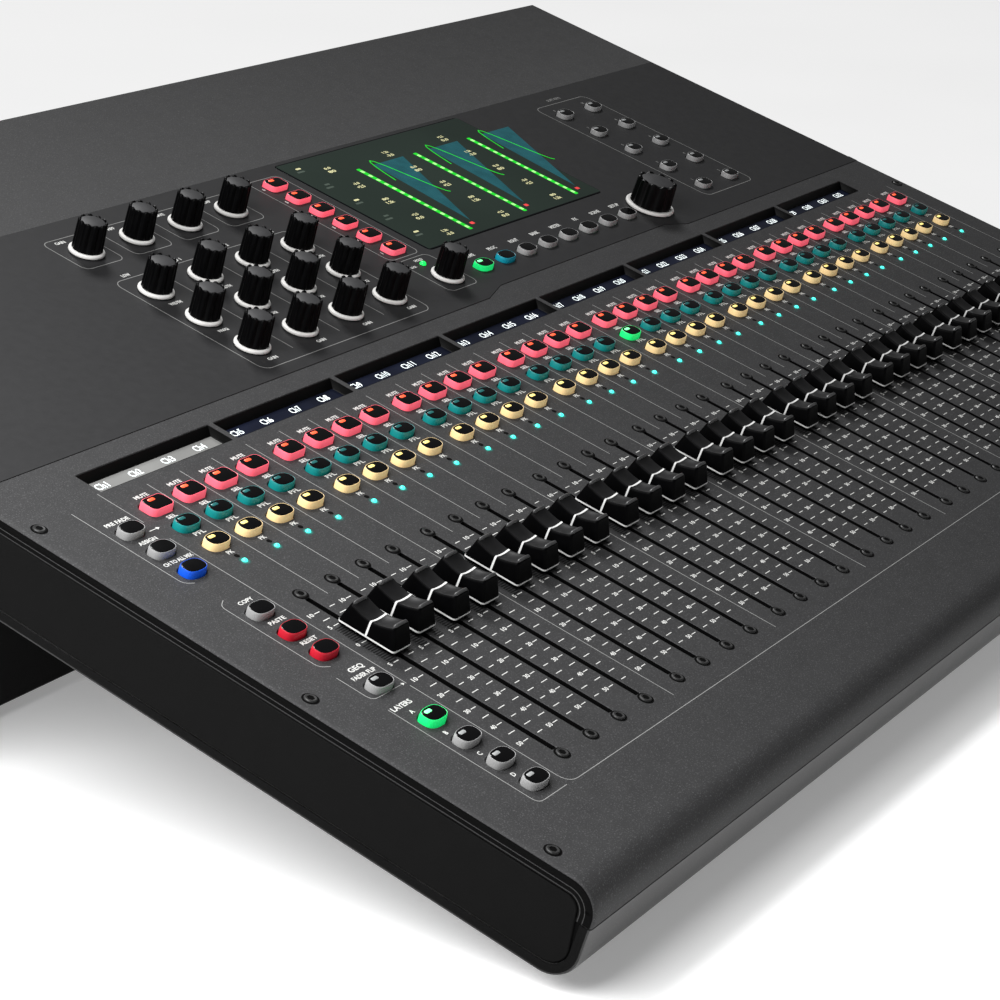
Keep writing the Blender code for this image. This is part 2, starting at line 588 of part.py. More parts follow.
def frame_size():
    """Outer size of the moulded frame round the mains inlet and the power switch."""
    right = INLET_X + INLET_SIZE[0] / 2
    left = ROCKER_X - ROCKER_WIDTH / 2 - FRAME_CLEARANCE - FRAME_BORDER
    return (left + right) / 2, right - left, INLET_SIZE[1]


def make_rear_panel(finishes):
    sockets = [regular(x, z, SOCKET_HOLE_RADIUS, SOCKET_SIDES) for x, z in input_places() + output_places()]
    port_width, port_height = NETWORK_SIZE
    ports = [rectangle(x, NETWORK_Z, port_width + 2 * GAP, port_height + 2 * GAP) for x in NETWORK_XS]
    frame_x, frame_width, frame_height = frame_size()
    inlet = rectangle(frame_x, INLET_Z, frame_width + 2 * GAP, frame_height + 2 * GAP)
    top = place(to_deck_y(REAR_FACE - REAR_SHEET, -SHEET), -SHEET)[1] - GAP
    outline = span(-INNER_HALF_WIDTH, INNER_HALF_WIDTH, FOOT_CLEARANCE, top)
    body = relief(outline, -REAR_SHEET, 0, sockets + ports + [inlet])
    make_rear_object("rear_panel", body, finishes["case"])


def socket_rings(x, y, pocket_depth):
    """Rings of a round socket from its board to its face, and on down into its pocket."""
    shell = regular(x, y, SOCKET_RADIUS, SOCKET_SIDES)
    rings = [at(shell, SOCKET_BOARD_HIGH), at(shell, SOCKET_FACE)]
    if pocket_depth:
        pocket = regular(x, y, POCKET_RADIUS, SOCKET_SIDES)
        rings += [at(pocket, SOCKET_FACE), at(pocket, SOCKET_FACE - pocket_depth)]
    return rings


def port_rings(x, y):
    shell, pocket = rectangle(x, y, *NETWORK_SIZE), rectangle(x, y, *NETWORK_POCKET)
    return [at(shell, SOCKET_BOARD_HIGH), at(shell, PORT_FACE), at(pocket, PORT_FACE),
            at(pocket, PORT_FACE - POCKET_DEPTH)]


def make_sockets(finishes):
    towers = [socket_rings(x, z, 0) for x, z in input_places()]
    last = INPUT_X + SOCKET_PITCH * (INPUT_COLUMNS - 1)
    board = span(INPUT_X - SOCKET_BOARD_SIDE, last + SOCKET_BOARD_SIDE,
                 min(INPUT_ROW_ZS) - SOCKET_BOARD_END, max(INPUT_ROW_ZS) + SOCKET_BOARD_END)
    body = relief(board, SOCKET_BOARD_LOW, SOCKET_BOARD_HIGH, towers=towers)
    make_rear_object("input_sockets", body, finishes["socket"])

    towers = [socket_rings(x, z, POCKET_DEPTH) for x, z in output_places()]
    towers += [port_rings(x, NETWORK_Z) for x in NETWORK_XS]
    last = OUTPUT_X + SOCKET_PITCH * (OUTPUT_COLUMNS - 1)
    board = span(OUTPUT_X - SOCKET_BOARD_SIDE, last + SOCKET_BOARD_SIDE,
                 NETWORK_Z - PORT_BOARD_END, OUTPUT_Z + SOCKET_BOARD_END)
    body = relief(board, SOCKET_BOARD_LOW, SOCKET_BOARD_HIGH, towers=towers)
    make_rear_object("output_sockets", body, finishes["socket"])


def make_power_entry(finishes):
    """A moulded frame with the mains inlet's pocket and an open bay, and the rocker that tilts in the bay."""
    frame_x, frame_width, frame_height = frame_size()
    outline = rectangle(frame_x, INLET_Z, frame_width, frame_height)
    pocket = rectangle(INLET_X, INLET_Z, *INLET_POCKET)
    bay = rectangle(ROCKER_X, INLET_Z, ROCKER_WIDTH + 2 * FRAME_CLEARANCE,
                    2 * (ROCKER_HALF_HEIGHT + FRAME_CLEARANCE))
    rings = [[at(pocket, FRAME_FACE), at(pocket, FRAME_FLOOR)], [at(bay, FRAME_FACE), at(bay, FRAME_FLOOR)]]
    body = relief(outline, FRAME_BACK, FRAME_FACE, towers=rings)
    make_rear_object("mains_inlet", body, finishes["socket"])

    half = ROCKER_HALF_HEIGHT
    profile = [(-half, ROCKER_HORN), (0, ROCKER_HORN / 2), (half, ROCKER_HORN)]
    profile += [(half - ROCKER_CHAMFER, ROCKER_BACK), (ROCKER_CHAMFER - half, ROCKER_BACK)]
    rocker = prism_x(profile, -ROCKER_WIDTH / 2, ROCKER_WIDTH / 2)
    part = mesh_object("power_rocker", rocker, finishes["cap"])
    part.location = Vector((-ROCKER_X, REAR_FACE_Y, INLET_Z)) * MM
    part.rotation_euler = (math.radians(90) + ROCKER_REST, 0, math.radians(180))


def make_pod_contents(finishes):
    """Main circuit board with its heat spreaders, and the power supply, on the pod's floor."""
    chips = [[at(rectangle(x, y, CHIP_SIZE, CHIP_SIZE), z) for z in (MAIN_BOARD_HIGH, CHIP_TOP)]
             for x, y in grid(CHIP_X, CHIP_Y, CHIP_PITCH_X, CHIP_PITCH_Y, CHIP_COLUMNS, CHIP_ROWS)]
    board = relief(span(*MAIN_BOARD_SPAN), MAIN_BOARD_LOW, MAIN_BOARD_HIGH, towers=chips)
    mesh_object("main_board", board, finishes["board"])
    supply = relief(span(*SUPPLY_SPAN), SUPPLY_LOW, SUPPLY_HIGH)
    mesh_object("power_supply", supply, finishes["steel"])


def main():
    for leftover in list(bpy.data.objects):
        bpy.data.objects.remove(leftover, do_unlink=True)
    finishes = make_finishes()
    deck = bpy.data.objects.new("deck_frame", None)
    deck.location = Vector((0, DECK_BACK, DECK_HEIGHT)) * MM
    deck.rotation_euler = (DECK_TILT, 0, 0)
    bpy.context.collection.objects.link(deck)

    make_deck_panel(finishes["deck"], deck)
    make_control_panel(finishes["overlay"], deck)
    make_case(finishes, deck)
    make_displays(finishes["display"], deck)
    make_touchscreen(finishes["display"], deck)
    make_boards(finishes, deck)
    make_faders(finishes["cap"], deck)
    for mat, (_, _, colour) in KEY_MATS.items():
        make_key_mat(mat, finishes[colour], deck)
    make_knobs(finishes["knob"], deck)
    make_feet(finishes["rubber"])
    make_rear_panel(finishes)
    make_sockets(finishes)
    make_power_entry(finishes)
    make_pod_contents(finishes)


main()
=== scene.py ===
"""Looks of the digital mixing console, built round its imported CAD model.

Shapes are worked out in millimetres, in one of three spaces: the deck's own (x across the console, y up
the slope, z out of the deck), the world's, or the rear panel's (x left to right as seen from behind, y up,
z out).
A Piece collects shapes from one space and turns them into one object of the frame, in metres.
"""
import functools
import json
import math

import bmesh
import bpy
from mathutils import Matrix, Quaternion, Vector
from mathutils.geometry import tessellate_polygon


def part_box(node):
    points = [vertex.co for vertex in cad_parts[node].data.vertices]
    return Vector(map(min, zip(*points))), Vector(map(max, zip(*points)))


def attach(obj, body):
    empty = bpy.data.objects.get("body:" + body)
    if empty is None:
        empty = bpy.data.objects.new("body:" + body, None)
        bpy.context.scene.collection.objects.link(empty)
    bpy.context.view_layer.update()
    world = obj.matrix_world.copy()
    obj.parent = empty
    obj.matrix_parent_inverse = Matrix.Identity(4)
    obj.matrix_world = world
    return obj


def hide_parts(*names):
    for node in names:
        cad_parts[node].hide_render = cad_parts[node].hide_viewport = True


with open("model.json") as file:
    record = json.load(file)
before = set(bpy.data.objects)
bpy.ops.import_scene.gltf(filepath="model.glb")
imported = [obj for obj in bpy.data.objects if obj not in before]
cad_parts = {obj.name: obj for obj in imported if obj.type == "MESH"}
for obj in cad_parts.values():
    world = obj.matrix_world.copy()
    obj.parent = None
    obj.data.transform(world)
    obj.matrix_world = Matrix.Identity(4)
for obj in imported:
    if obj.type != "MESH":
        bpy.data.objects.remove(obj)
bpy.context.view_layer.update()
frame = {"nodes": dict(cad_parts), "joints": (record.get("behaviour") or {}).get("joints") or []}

MM = 0.001
SHARP_ANGLE = math.radians(32)
JOINTS = {joint["name"]: joint for joint in frame["joints"]}


def corners(node):
    """Lowest and highest corners of a CAD node, in millimetres."""
    low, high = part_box(node)
    return low / MM, high / MM


# Spaces. The faders slide along the deck's slope, and the screen knob stands at a known place on the deck.
SCREEN_KNOB = (-27.5, 260.9)
SLOPE = JOINTS["fader_01_slide"]["axis"]
DECK_TILT = math.atan2(SLOPE[2], SLOPE[1])
DECK_TURN = Matrix.Rotation(DECK_TILT, 4, "X")
DECK_ORIGIN = (Vector(JOINTS["screen_knob_turn"]["pos_m"]) / MM - DECK_TURN @ Vector((*SCREEN_KNOB, 0)))
DECK = Matrix.Scale(MM, 4) @ Matrix.Translation(DECK_ORIGIN) @ DECK_TURN
WORLD = Matrix.Scale(MM, 4)
REAR_FACE = corners("rear_panel")[1].y
REAR = (Matrix.Scale(MM, 4) @ Matrix.Translation((0, REAR_FACE, 0))
        @ Matrix.Rotation(math.pi, 4, "Z") @ Matrix.Rotation(math.pi / 2, 4, "X"))

# Case.
HALF_WIDTH = corners("deck_panel")[1].x
SHEET, SLAB_DEPTH = 1.6, 40.6
CHEEK, GROOVE_DEPTH = 3.0, 0.8
UPPER_BEND_Y, UPPER_BEND_RADIUS = -43.2, 12.0
LOWER_BEND_Y, LOWER_BEND_RADIUS = -41.6, 13.6
NOSE_FRONT_Y, NOSE_SEAM_Z, NOSE_SEAM_GAP = UPPER_BEND_Y - UPPER_BEND_RADIUS, -14.4, 0.6
LOWER_BEND_Z = LOWER_BEND_RADIUS - SLAB_DEPTH
TOP_FLANGE, TOP_GROOVE, TRAY_FLANGE, TRAY_GROOVE = 6.3, 0.7, 4.4, 0.5
FLAT_MARGIN = 2.5
DECK_REAR_Y, CONTROL_REAR_Y, COVER_FRONT_Y, COVER_REAR_Y = 236.3, 387.0, 387.4, 480.0
OVERLAY_TOP, OVERLAY_GAP = 0.3, 0.08
OVERLAY_STEP = ((-25.6, 0.0), (-6.6, 5.9), (159.4, 5.9), (176.0, 0.0))
SLAB_END_Y, POD_FRONT_Y, POD_FRONT_RAKE = 262.0, 255.0, 18.0
FLOOR_GAP = corners("pod_tray")[0].z
POD_SCREW_XS = (-300, -100, 100, 300)
DECK_SCREW_X, DECK_SCREW_YS = 385.3, (-30.0, 75.4, 205.0)

# Channel strips.
CHANNELS = 32
FIRST_X, PITCH, GROUP_EXTRA = -331.6, 20.415, 4.589
STRIP_XS = [FIRST_X + PITCH * index + GROUP_EXTRA * (index // 4) for index in range(CHANNELS + 1)]
SINGLE_FADERS = 4
FADER_ZERO_Y, SLOT_FRONT_Y, SLOT_REAR_Y, SLOT_WIDTH = 86.8, 3.5, 117.5, 3.0
FADER_SCREW_YS = (0.0, 120.8)
CAP_WIDTH, CAP_LENGTH, CAP_TOP_WIDTH, CAP_TOP_LENGTH = 12.0, 26.6, 10.3, 20.8
CAP_BOTTOM, CAP_SADDLE, CAP_FRONT, CAP_REAR, CAP_DISH, CAP_CROWN = 1.0, 8.6, 11.3, 11.2, 0.55, 0.8
CAP_LINE_LOW, CAP_LINE_HIGH, CAP_LINE_WIDTH, CAP_STEPS = 2.1, 2.8, 0.85, 12
CAP_SHIFT, RAISED_CHANNEL, CAP_RAISE = 0.8, 2, 2.7

# Keys: where they stand, their size and shape.
MUTE_Y, SELECT_Y, CUE_Y = 192.0, 176.8, 161.8
MUTE_KEY, OVAL_KEY, KEY_HOLE_CLEARANCE, KEY_SHIFT = (13.0, 8.9), (11.8, 8.2), 0.5, (-0.5, 0.2)
FUNCTION_X = -356.1
FUNCTION_YS = (185.0, 169.5, 154.2, 121.4, 106.1, 91.1, 65.8, 41.6, 26.3, 11.3, -3.5)
MUTE_GROUP_X, MUTE_GROUP_Y, MUTE_GROUP_PITCH, MUTE_GROUPS = -29.3, 293.0, 14.95, 6
SCREEN_KEY_X, SCREEN_KEY_Y, SCREEN_KEY_PITCH, SCREEN_KEYS = 2.9, 259.4, 20.55, 8
SOFT_KEY_X, SOFT_KEY_Y, SOFT_KEY_PITCH_X, SOFT_KEY_PITCH_Y = 238.4, 262.0, 32.0, 24.0
SOFT_COLUMNS, SOFT_ROWS = 2, 5

# Displays, screen and knobs.
DISPLAYS, DISPLAY_X, DISPLAY_PITCH, DISPLAY_HALF = 8, -301.0, 86.25, 41.7
DISPLAY_FRONT_Y, DISPLAY_REAR_Y, PANEL_REAR_Y, PANEL_Z, PANEL_HALF = 211.3, 225.0, 221.9, -4.0, 40.9
SCREEN_X, SCREEN_Y, SCREEN_SIZE, SCREEN_TOP = 75.4, 334.0, (170.0, 100.0), 0.6
PICTURE_SIZE, PICTURE_COLUMNS, PICTURE_ROWS, PICTURE_PITCH = (168.8, 98.4), 3, 5, 52.8
PICTURE_VALUES = ("-3.0", "0.0", "1.2k", "+2.5", "80")
LED_Y, PEAK_LED_Y, STATUS_LED_Y = 148.1, 152.0, 275.7
PEQ_X, PEQ_PITCH, PEQ_COLUMNS, PEQ_YS, BACK_ROW_Y = -184.4, 35.6, 4, (260.7, 288.7, 316.6), 358.2
WHEEL_KNOB, WHEEL_SCALE = (171.6, 259.5), 1.6
KNOB_RING, KNOB_BODY, KNOB_TOP_RADIUS, KNOB_TOP, SHAFT_HOLE = 8.5, 7.2, 6.8, 17.0, 3.9
KNOB_FLUTES, KNOB_FACE_DEPTH = 10, 0.7

# Rear panel.
SOCKET_PITCH, SOCKET_RADIUS, SOCKET_HOLE = 25.5, 11.6, 12.1
INPUTS, INPUT_X, INPUT_YS = 16, -362.0, (150.0, 116.0)
OUTPUTS, OUTPUT_X, OUTPUT_Y = 12, 78.0, 150.0
PORT_XS, PORT_Y, PORT_SIZE, PORT_MOUTH = (80.0, 106.0), 116.0, (20.0, 17.0), (12.0, 9.0)
VENT_XS, VENT_Y, VENT_PITCH, VENT_SLOTS, VENT_SIZE = (-330.0, -120.0, 90.0), 62.0, 7.0, 18, (3.0, 34.0)
REAR_SCREW_XS, REAR_SCREW_YS = (-380, -190, 0, 190, 380), (15.0, 182.0)
SOCKET_REAR, PIN_CIRCLE = -16, 4.7
INLET_X, INLET_Y, INLET_MOUTH, ROCKER_X = 352.0, 50.0, (24.0, 17.0), 318.0
POWER_FRAME_X, POWER_FRAME_SIZE = 337.3, (61.4, 26.0)
PRINT_HEIGHT, LINE_WIDTH = 0.05, 0.42


# ---------------------------------------------------------------- outlines and shapes

def arc(x, y, radius, start, end, steps=8):
    turns = [math.radians(start + (end - start) * step / steps) for step in range(steps + 1)]
    return [(x + radius * math.cos(turn), y + radius * math.sin(turn)) for turn in turns]


def circle(x, y, radius, sides=32):
    return arc(x, y, radius, 0, 360, sides)[:-1]


def soft_rect(x, y, width, height, radius, steps=5):
    """Rectangle with rounded corners, anticlockwise."""
    right, top = width / 2 - radius, height / 2 - radius
    points = []
    for start, across, up in ((0, 1, 1), (90, -1, 1), (180, -1, -1), (270, 1, -1)):
        points += arc(x + across * right, y + up * top, radius, start, start + 90, steps)
    return [point for index, point in enumerate(points) if math.dist(point, points[index - 1]) > 1e-6]


def oval(x, y, width, height):
    """Rounded shape between an ellipse and a rectangle."""
    steps, power = 24, 2 / 2.7
    points = []
    for step in range(steps):
        turn = 2 * math.pi * (step + 0.5) / steps
        along, across = math.cos(turn), math.sin(turn)
        points.append((x + math.copysign(abs(along) ** power, along) * width / 2,
                       y + math.copysign(abs(across) ** power, across) * height / 2))
    return points


def grow(outline, amount):
    """Offsets an anticlockwise outline outwards."""
    grown = []
    for index, point in enumerate(outline):
        before, here, after = (Vector(outline[index - 1]), Vector(point),
                               Vector(outline[(index + 1) % len(outline)]))
        into, out = (here - before).normalized(), (after - here).normalized()
        normal = Vector((into.y + out.y, -into.x - out.x)).normalized()
        grown.append(tuple(here + normal * amount / max(0.3, normal.dot(Vector((into.y, -into.x))))))
    return grown


def at(outline, z):
    return [(x, y, z) for x, y in outline]


def loft(rings, close=True):
    """Closed shape through rings that have the same number of points."""
    count = len(rings[0])
    points = [point for ring in rings for point in ring]
    faces = [(level * count + index, level * count + (index + 1) % count,
              (level + 1) * count + (index + 1) % count, (level + 1) * count + index)
             for level in range(len(rings) - 1) for index in range(count)]
    if close:
        faces.append(tuple(reversed(range(count))))
        faces.append(tuple(range((len(rings) - 1) * count, len(rings) * count)))
    return points, faces


def turned(profile, sides):
    """Round shape from (radius, z) pairs."""
    return stack(*[(circle(0, 0, radius, sides), z) for radius, z in profile])


def stack(*levels, close=True):
    """Shape through (outline, z) levels."""
    return loft([at(outline, z) for outline, z in levels], close)


def prism(outline, low, high):
    return stack((outline, low), (outline, high))


def fill(loops):
    """Triangles of the flat region inside the first loop and outside the others."""
    points = [point for loop in loops for point in loop]
    return points, list(tessellate_polygon([[Vector(point) for point in loop] for loop in loops]))


def joined(*shapes):
    points, faces = [], []
    for shape_points, shape_faces in shapes:
        start = len(points)
        points += shape_points
        faces += [tuple(start + index for index in face) for face in shape_faces]
    return points, faces


def capped(rings):
    """Shape through rings, with triangles across its hollow ends."""
    return joined(loft(rings, close=False), fill([rings[0]]), fill([rings[-1]]))


def plate(outline, low, high, holes=(), bevel=0.2):
    """Sheet with holes; its upper edges are slightly broken."""
    parts, tops, bottoms = [], [], []
    for sign, loop in [(-1, outline)] + [(1, hole) for hole in holes]:
        rings = [at(loop, low), at(loop, high - bevel), at(grow(loop, sign * bevel), high)]
        parts.append(loft(rings, close=False))
        bottoms.append(rings[0])
        tops.append(rings[-1])
    return joined(*parts, fill(tops), fill(bottoms))


def stroke(points, width=LINE_WIDTH):
    """Printed line along the points."""
    sides = []
    for index, point in enumerate(points):
        here = Vector(point)
        before = (here - Vector(points[index - 1])).normalized() if index else None
        after = (Vector(points[index + 1]) - here).normalized() if index + 1 < len(points) else None
        before, after = before or after, after or before
        normal = Vector((-before.y - after.y, before.x + after.x)).normalized()
        reach = normal * (width / 2 / max(0.4, normal.dot(Vector((-before.y, before.x)))))
        sides.append((here + reach, here - reach))
    return loft([[(*left, 0), (*right, 0), (*right, PRINT_HEIGHT), (*left, PRINT_HEIGHT)]
                 for left, right in sides])


def rounded(points, radius):
    """Polyline with its inner corners rounded."""
    steps, path = 5, [points[0]]
    for before, here, after in zip(points, points[1:], points[2:]):
        corner = Vector(here)
        into, out = (corner - Vector(before)), (Vector(after) - corner)
        reach = min(radius, into.length / 2, out.length / 2)
        start, end = corner - into.normalized() * reach, corner + out.normalized() * reach
        for step in range(steps + 1):
            share = step / steps
            path.append(tuple(start * (1 - share) ** 2 + corner * 2 * share * (1 - share) + end * share ** 2))
    return path + [points[-1]]


def box_line(x_low, x_high, y_low, y_high, radius):
    """Printed frame with rounded corners."""
    outline = soft_rect((x_low + x_high) / 2, (y_low + y_high) / 2, x_high - x_low, y_high - y_low, radius)
    inner, outer = grow(outline, -LINE_WIDTH / 2), grow(outline, LINE_WIDTH / 2)
    levels = ((inner, 0), (outer, 0), (outer, PRINT_HEIGHT), (inner, PRINT_HEIGHT), (inner, 0))
    return stack(*levels, close=False)


@functools.lru_cache(maxsize=None)
def lettering(words, weight):
    """Letters of unit height and thickness, centred, and half their width. weight thickens the strokes."""
    curve = bpy.data.curves.new("lettering", "FONT")
    curve.body = words
    curve.align_x = "CENTER"
    curve.resolution_u = 2
    curve.extrude = 0.5
    curve.offset = weight
    holder = bpy.data.objects.new("lettering", curve)
    mesh = bpy.data.meshes.new_from_object(holder)
    solid = bmesh.new()
    solid.from_mesh(mesh)
    bmesh.ops.remove_doubles(solid, verts=solid.verts, dist=1e-4)
    xs, ys = [vert.co.x for vert in solid.verts], [vert.co.y for vert in solid.verts]
    left, right, bottom, height = min(xs), max(xs), min(ys), max(ys) - min(ys)
    points = [((vert.co.x - (left + right) / 2) / height, (vert.co.y - bottom) / height - 0.5, vert.co.z)
              for vert in solid.verts]
    faces = [tuple(vert.index for vert in face.verts) for face in solid.faces]
    solid.free()
    bpy.data.objects.remove(holder)
    bpy.data.meshes.remove(mesh)
    bpy.data.curves.remove(curve)
    return points, faces, (right - left) / height / 2


def words(text, x, y, height, width=None, z=0.0, weight=0.022):
    """Letters centred on x and y. A width squeezes or spreads them."""
    points, faces, half = lettering(text, weight)
    stretch = width / (2 * half * height) if width else 1.0
    placed = [(x + px * height * stretch, y + py * height, z + (pz + 0.5) * PRINT_HEIGHT)
              for px, py, pz in points]
    return placed, faces


def add_object(name, data):
    item = bpy.data.objects.new(name, data)
    bpy.context.scene.collection.objects.link(item)
    return item


class Piece:
    """Collects shapes of one space, each with its finish, and makes one object of them."""

    def __init__(self, space):
        self.space = space
        self.points, self.faces, self.indices, self.finishes = [], [], [], []

    def add(self, shape, look, x=0.0, y=0.0, z=0.0):
        points, faces = shape
        start = len(self.points)
        self.points += [(px + x, py + y, pz + z) for px, py, pz in points]
        self.faces += [tuple(start + index for index in face) for face in faces]
        if look not in self.finishes:
            self.finishes.append(look)
        self.indices += [self.finishes.index(look)] * len(faces)

    def make(self, name, slot, stands_for=(), body="console", weld=True):
        mesh = bpy.data.meshes.new(name)
        mesh.from_pydata([self.space @ Vector(point) for point in self.points], [], self.faces)
        for look in self.finishes:
            mesh.materials.append(look)
        mesh.polygons.foreach_set("material_index", self.indices)
        solid = bmesh.new()
        solid.from_mesh(mesh)
        if weld:
            bmesh.ops.remove_doubles(solid, verts=solid.verts, dist=0.004 * MM)
        bmesh.ops.recalc_face_normals(solid, faces=solid.faces)
        solid.to_mesh(mesh)
        solid.free()
        mesh.shade_smooth()
        mesh.set_sharp_from_angle(angle=SHARP_ANGLE)
        piece = add_object(name, mesh)
        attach(piece, body)
        if stands_for:
            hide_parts(*stands_for)


# ---------------------------------------------------------------- materials

def scaled(colour, factor):
    return (*(min(1.0, channel * factor) for channel in colour), 1.0)


def surface(name, colour, roughness, grain=900.0, depth=0.02, mottle=0.12, polish=0.06, speckle=None,
            glow=0.0, specular=0.5, metallic=0.0, streak=(1, 1, 1)):
    """Procedural finish: mottled colour and roughness, and a fine raised grain.

    grain is in cells a metre and depth in millimetres. speckle is the brightness of the light flecks in a
    powder coat, and glow the strength of a lit surface.
    """
    look = bpy.data.materials.new(name)
    look.use_nodes = True
    nodes, links = look.node_tree.nodes, look.node_tree.links

    def feed(node, **inputs):
        """Sets a node's inputs from values or other nodes' outputs. A name's underscores stand for spaces."""
        for title, value in inputs.items():
            target = node.inputs[title.replace("_", " ")]
            if isinstance(value, bpy.types.NodeSocket):
                links.new(value, target)
            else:
                target.default_value = value
        return node

    def ramp(source, *stops):
        node = feed(nodes.new("ShaderNodeValToRGB"), Fac=source)
        for element, (position, shade) in zip(node.color_ramp.elements, stops):
            element.position, element.color = position, shade
        return node.outputs["Color"]

    place = nodes.new("ShaderNodeTexCoord").outputs["Object"]
    stretch = feed(nodes.new("ShaderNodeMapping"), Scale=streak, Vector=place).outputs["Vector"]
    noises = [feed(nodes.new("ShaderNodeTexNoise"), Scale=scale, Detail=detail, Vector=stretch)
              for scale, detail in ((grain, 3.0), (grain / 12, 2.0))]
    fine, broad = (noise.outputs["Fac"] for noise in noises)
    shade = ramp(broad, (0.3, scaled(colour, 1 - mottle)), (0.7, scaled(colour, 1 + mottle)))
    if speckle:
        flecks = ramp(fine, (0.55, (0, 0, 0, 1)), (0.72, (1, 1, 1, 1)))
        mix = nodes.new("ShaderNodeMix")
        mix.data_type = "RGBA"
        shade = feed(mix, B=scaled(colour, speckle), Factor=flecks, A=shade).outputs["Result"]
    spread = feed(nodes.new("ShaderNodeMapRange"), To_Min=max(0.02, roughness - polish),
                  To_Max=min(1.0, roughness + polish), Value=broad)
    shader = feed(nodes["Principled BSDF"], Metallic=metallic, Specular_IOR_Level=specular, Base_Color=shade,
                  Roughness=spread.outputs["Result"])
    if depth:
        bump = feed(nodes.new("ShaderNodeBump"), Strength=1.0, Distance=depth * MM, Height=fine)
        feed(shader, Normal=bump.outputs["Normal"])
    if glow:
        feed(shader, Emission_Color=shade, Emission_Strength=glow)
    return look


def silicone(name, colour, glow=0.0):
    return surface(name, colour, 0.42, 2200, 0.012, 0.06, 0.05, glow=glow)


def light(name, colour, glow):
    return surface(name, colour, 0.25, 1500, 0.004, glow=glow)


DECK_COAT = surface("deck_powder_coat", (0.039, 0.039, 0.04), 0.55, 1700, 0.05, 0.06, 0.05, speckle=2.3,
                    specular=0.12)
OVERLAY = surface("control_overlay", (0.026, 0.026, 0.027), 0.5, 2600, 0.012, 0.05, 0.05, specular=0.1)
# The deck's powder coat again, painted far darker as the shade on the side cheeks, the flanges
# and the pod tray.
SHADED_CASE_COAT = surface("case_powder_coat", (0.0033, 0.0033, 0.0033), 0.55, 1600, 0.04, 0.1, 0.06,
                    speckle=1.7, specular=0.04)
REAR_COAT = surface("rear_powder_coat", (0.011, 0.011, 0.011), 0.5, 1600, 0.04, 0.1, 0.06, speckle=1.8,
                    specular=0.15)
# The deck's powder coat again, painted lighter as the pale floor's reflection under the nose;
# its higher specular reflects for real.
LIT_TRAY_COAT = surface("tray_coat_painted_floor_light", (0.05, 0.05, 0.05), 0.36, 1600, 0.03, 0.08, 0.05, speckle=1.6,
                    specular=0.6)
INK = surface("white_ink", (0.68, 0.68, 0.66), 0.6, 3000, 0.006, 0.08)
LINE_INK = surface("line_ink", (0.3, 0.3, 0.295), 0.6, 3000, 0.006, 0.08)
PANEL_INK = surface("grey_ink", (0.2, 0.2, 0.195), 0.6, 3000, 0.004, 0.08)
HATCH_INK = surface("dark_ink", (0.006, 0.006, 0.006), 0.6, 3000, 0.004, specular=0.15)
# Near-black painted shade for slot walls, grooves, holes, sockets and the sheet behind the vents;
# also the real black of the dust brushes under the slots.
SHADOW = surface("recess_shade_and_brush_black", (0.0015, 0.0015, 0.0015), 0.8, 1500, 0.02, specular=0.05)
SCREW_STEEL = surface("black_zinc_screw", (0.03, 0.03, 0.03), 0.42, 1800, 0.01, 0.15, 0.1, metallic=0.3)
# Black cap plastic in three copies: walls darkest as painted shade, the dished top lighter as
# painted sheen, the lips at the crests lightest as painted highlight.
CAP_PLASTIC = surface("fader_cap_plastic", (0.001, 0.001, 0.0012), 0.42, 2600, 0.012, 0.12, 0.06,
                      specular=0.04)
CAP_TOP = surface("fader_cap_top_painted_sheen", (0.009, 0.009, 0.0095), 0.36, 2600, 0.014, 0.15, 0.06, specular=0.35)
CAP_LIP_HIGHLIGHT = surface("fader_cap_lip_painted_highlight", (0.045, 0.045, 0.046), 0.4, 2600, 0.014, 0.15, 0.06, specular=0.5)
# Thin painted highlight lines along the edges of the case's flanges and the tray.
EDGE_HIGHLIGHT = surface("painted_edge_highlight", (0.016, 0.016, 0.016), 0.5, 2000, 0.01, 0.15, 0.06, specular=0.3)
CAP_LINE = surface("fader_cap_line", (0.78, 0.78, 0.77), 0.5, 2400, 0.006, 0.05)
KNOB_PLASTIC = surface("knob_plastic", (0.001, 0.001, 0.0012), 0.4, 2200, 0.014, 0.12, 0.06, specular=0.1)
# The knob's top face, painted grey as the sheen of light on its black plastic.
KNOB_FACE = surface("knob_face_painted_sheen", (0.036, 0.036, 0.038), 0.5, 2400, 0.012, 0.08, specular=0.3)
KNOB_RING_LOOK = surface("knob_ring", (0.78, 0.77, 0.75), 0.45, 2000, 0.008, 0.05)
KEY_CAP = surface("key_cap_plastic", (0.0015, 0.0015, 0.0018), 0.2, 1800, 0.003, 0.15, 0.04, specular=0.25)
MUTE_BOOT = silicone("mute_silicone", (1.0, 0.125, 0.18), 0.6)
SELECT_BOOT = silicone("select_silicone", (0.002, 0.24, 0.24), 0.1)
CUE_BOOT = silicone("cue_silicone", (1.0, 0.7, 0.34), 0.3)
GREY_BOOT = silicone("grey_silicone", (0.37, 0.37, 0.37))
RED_BOOT = silicone("red_silicone", (0.58, 0.01, 0.028), 0.06)
BLUE_BOOT = silicone("blue_silicone", (0.004, 0.1, 0.75), 0.1)
GREEN_BOOT = silicone("lit_green_silicone", (0.01, 0.85, 0.2), 0.5)
CYAN_BOOT = silicone("cyan_silicone", (0.0, 0.3, 0.42), 0.08)
MUTE_WINDOW = light("mute_window", (1.0, 0.1, 0.04), 1.2)
SELECT_WINDOW = light("select_window", (0.02, 0.13, 0.13), 0.15)
CUE_WINDOW = light("cue_window", (1.0, 0.72, 0.22), 1.0)
GREY_WINDOW = light("grey_window", (0.35, 0.36, 0.36), 0.1)
GREEN_WINDOW = light("green_window", (0.2, 1.0, 0.35), 1.6)
CYAN_LED = light("signal_led", (0.06, 0.9, 0.72), 1.6)
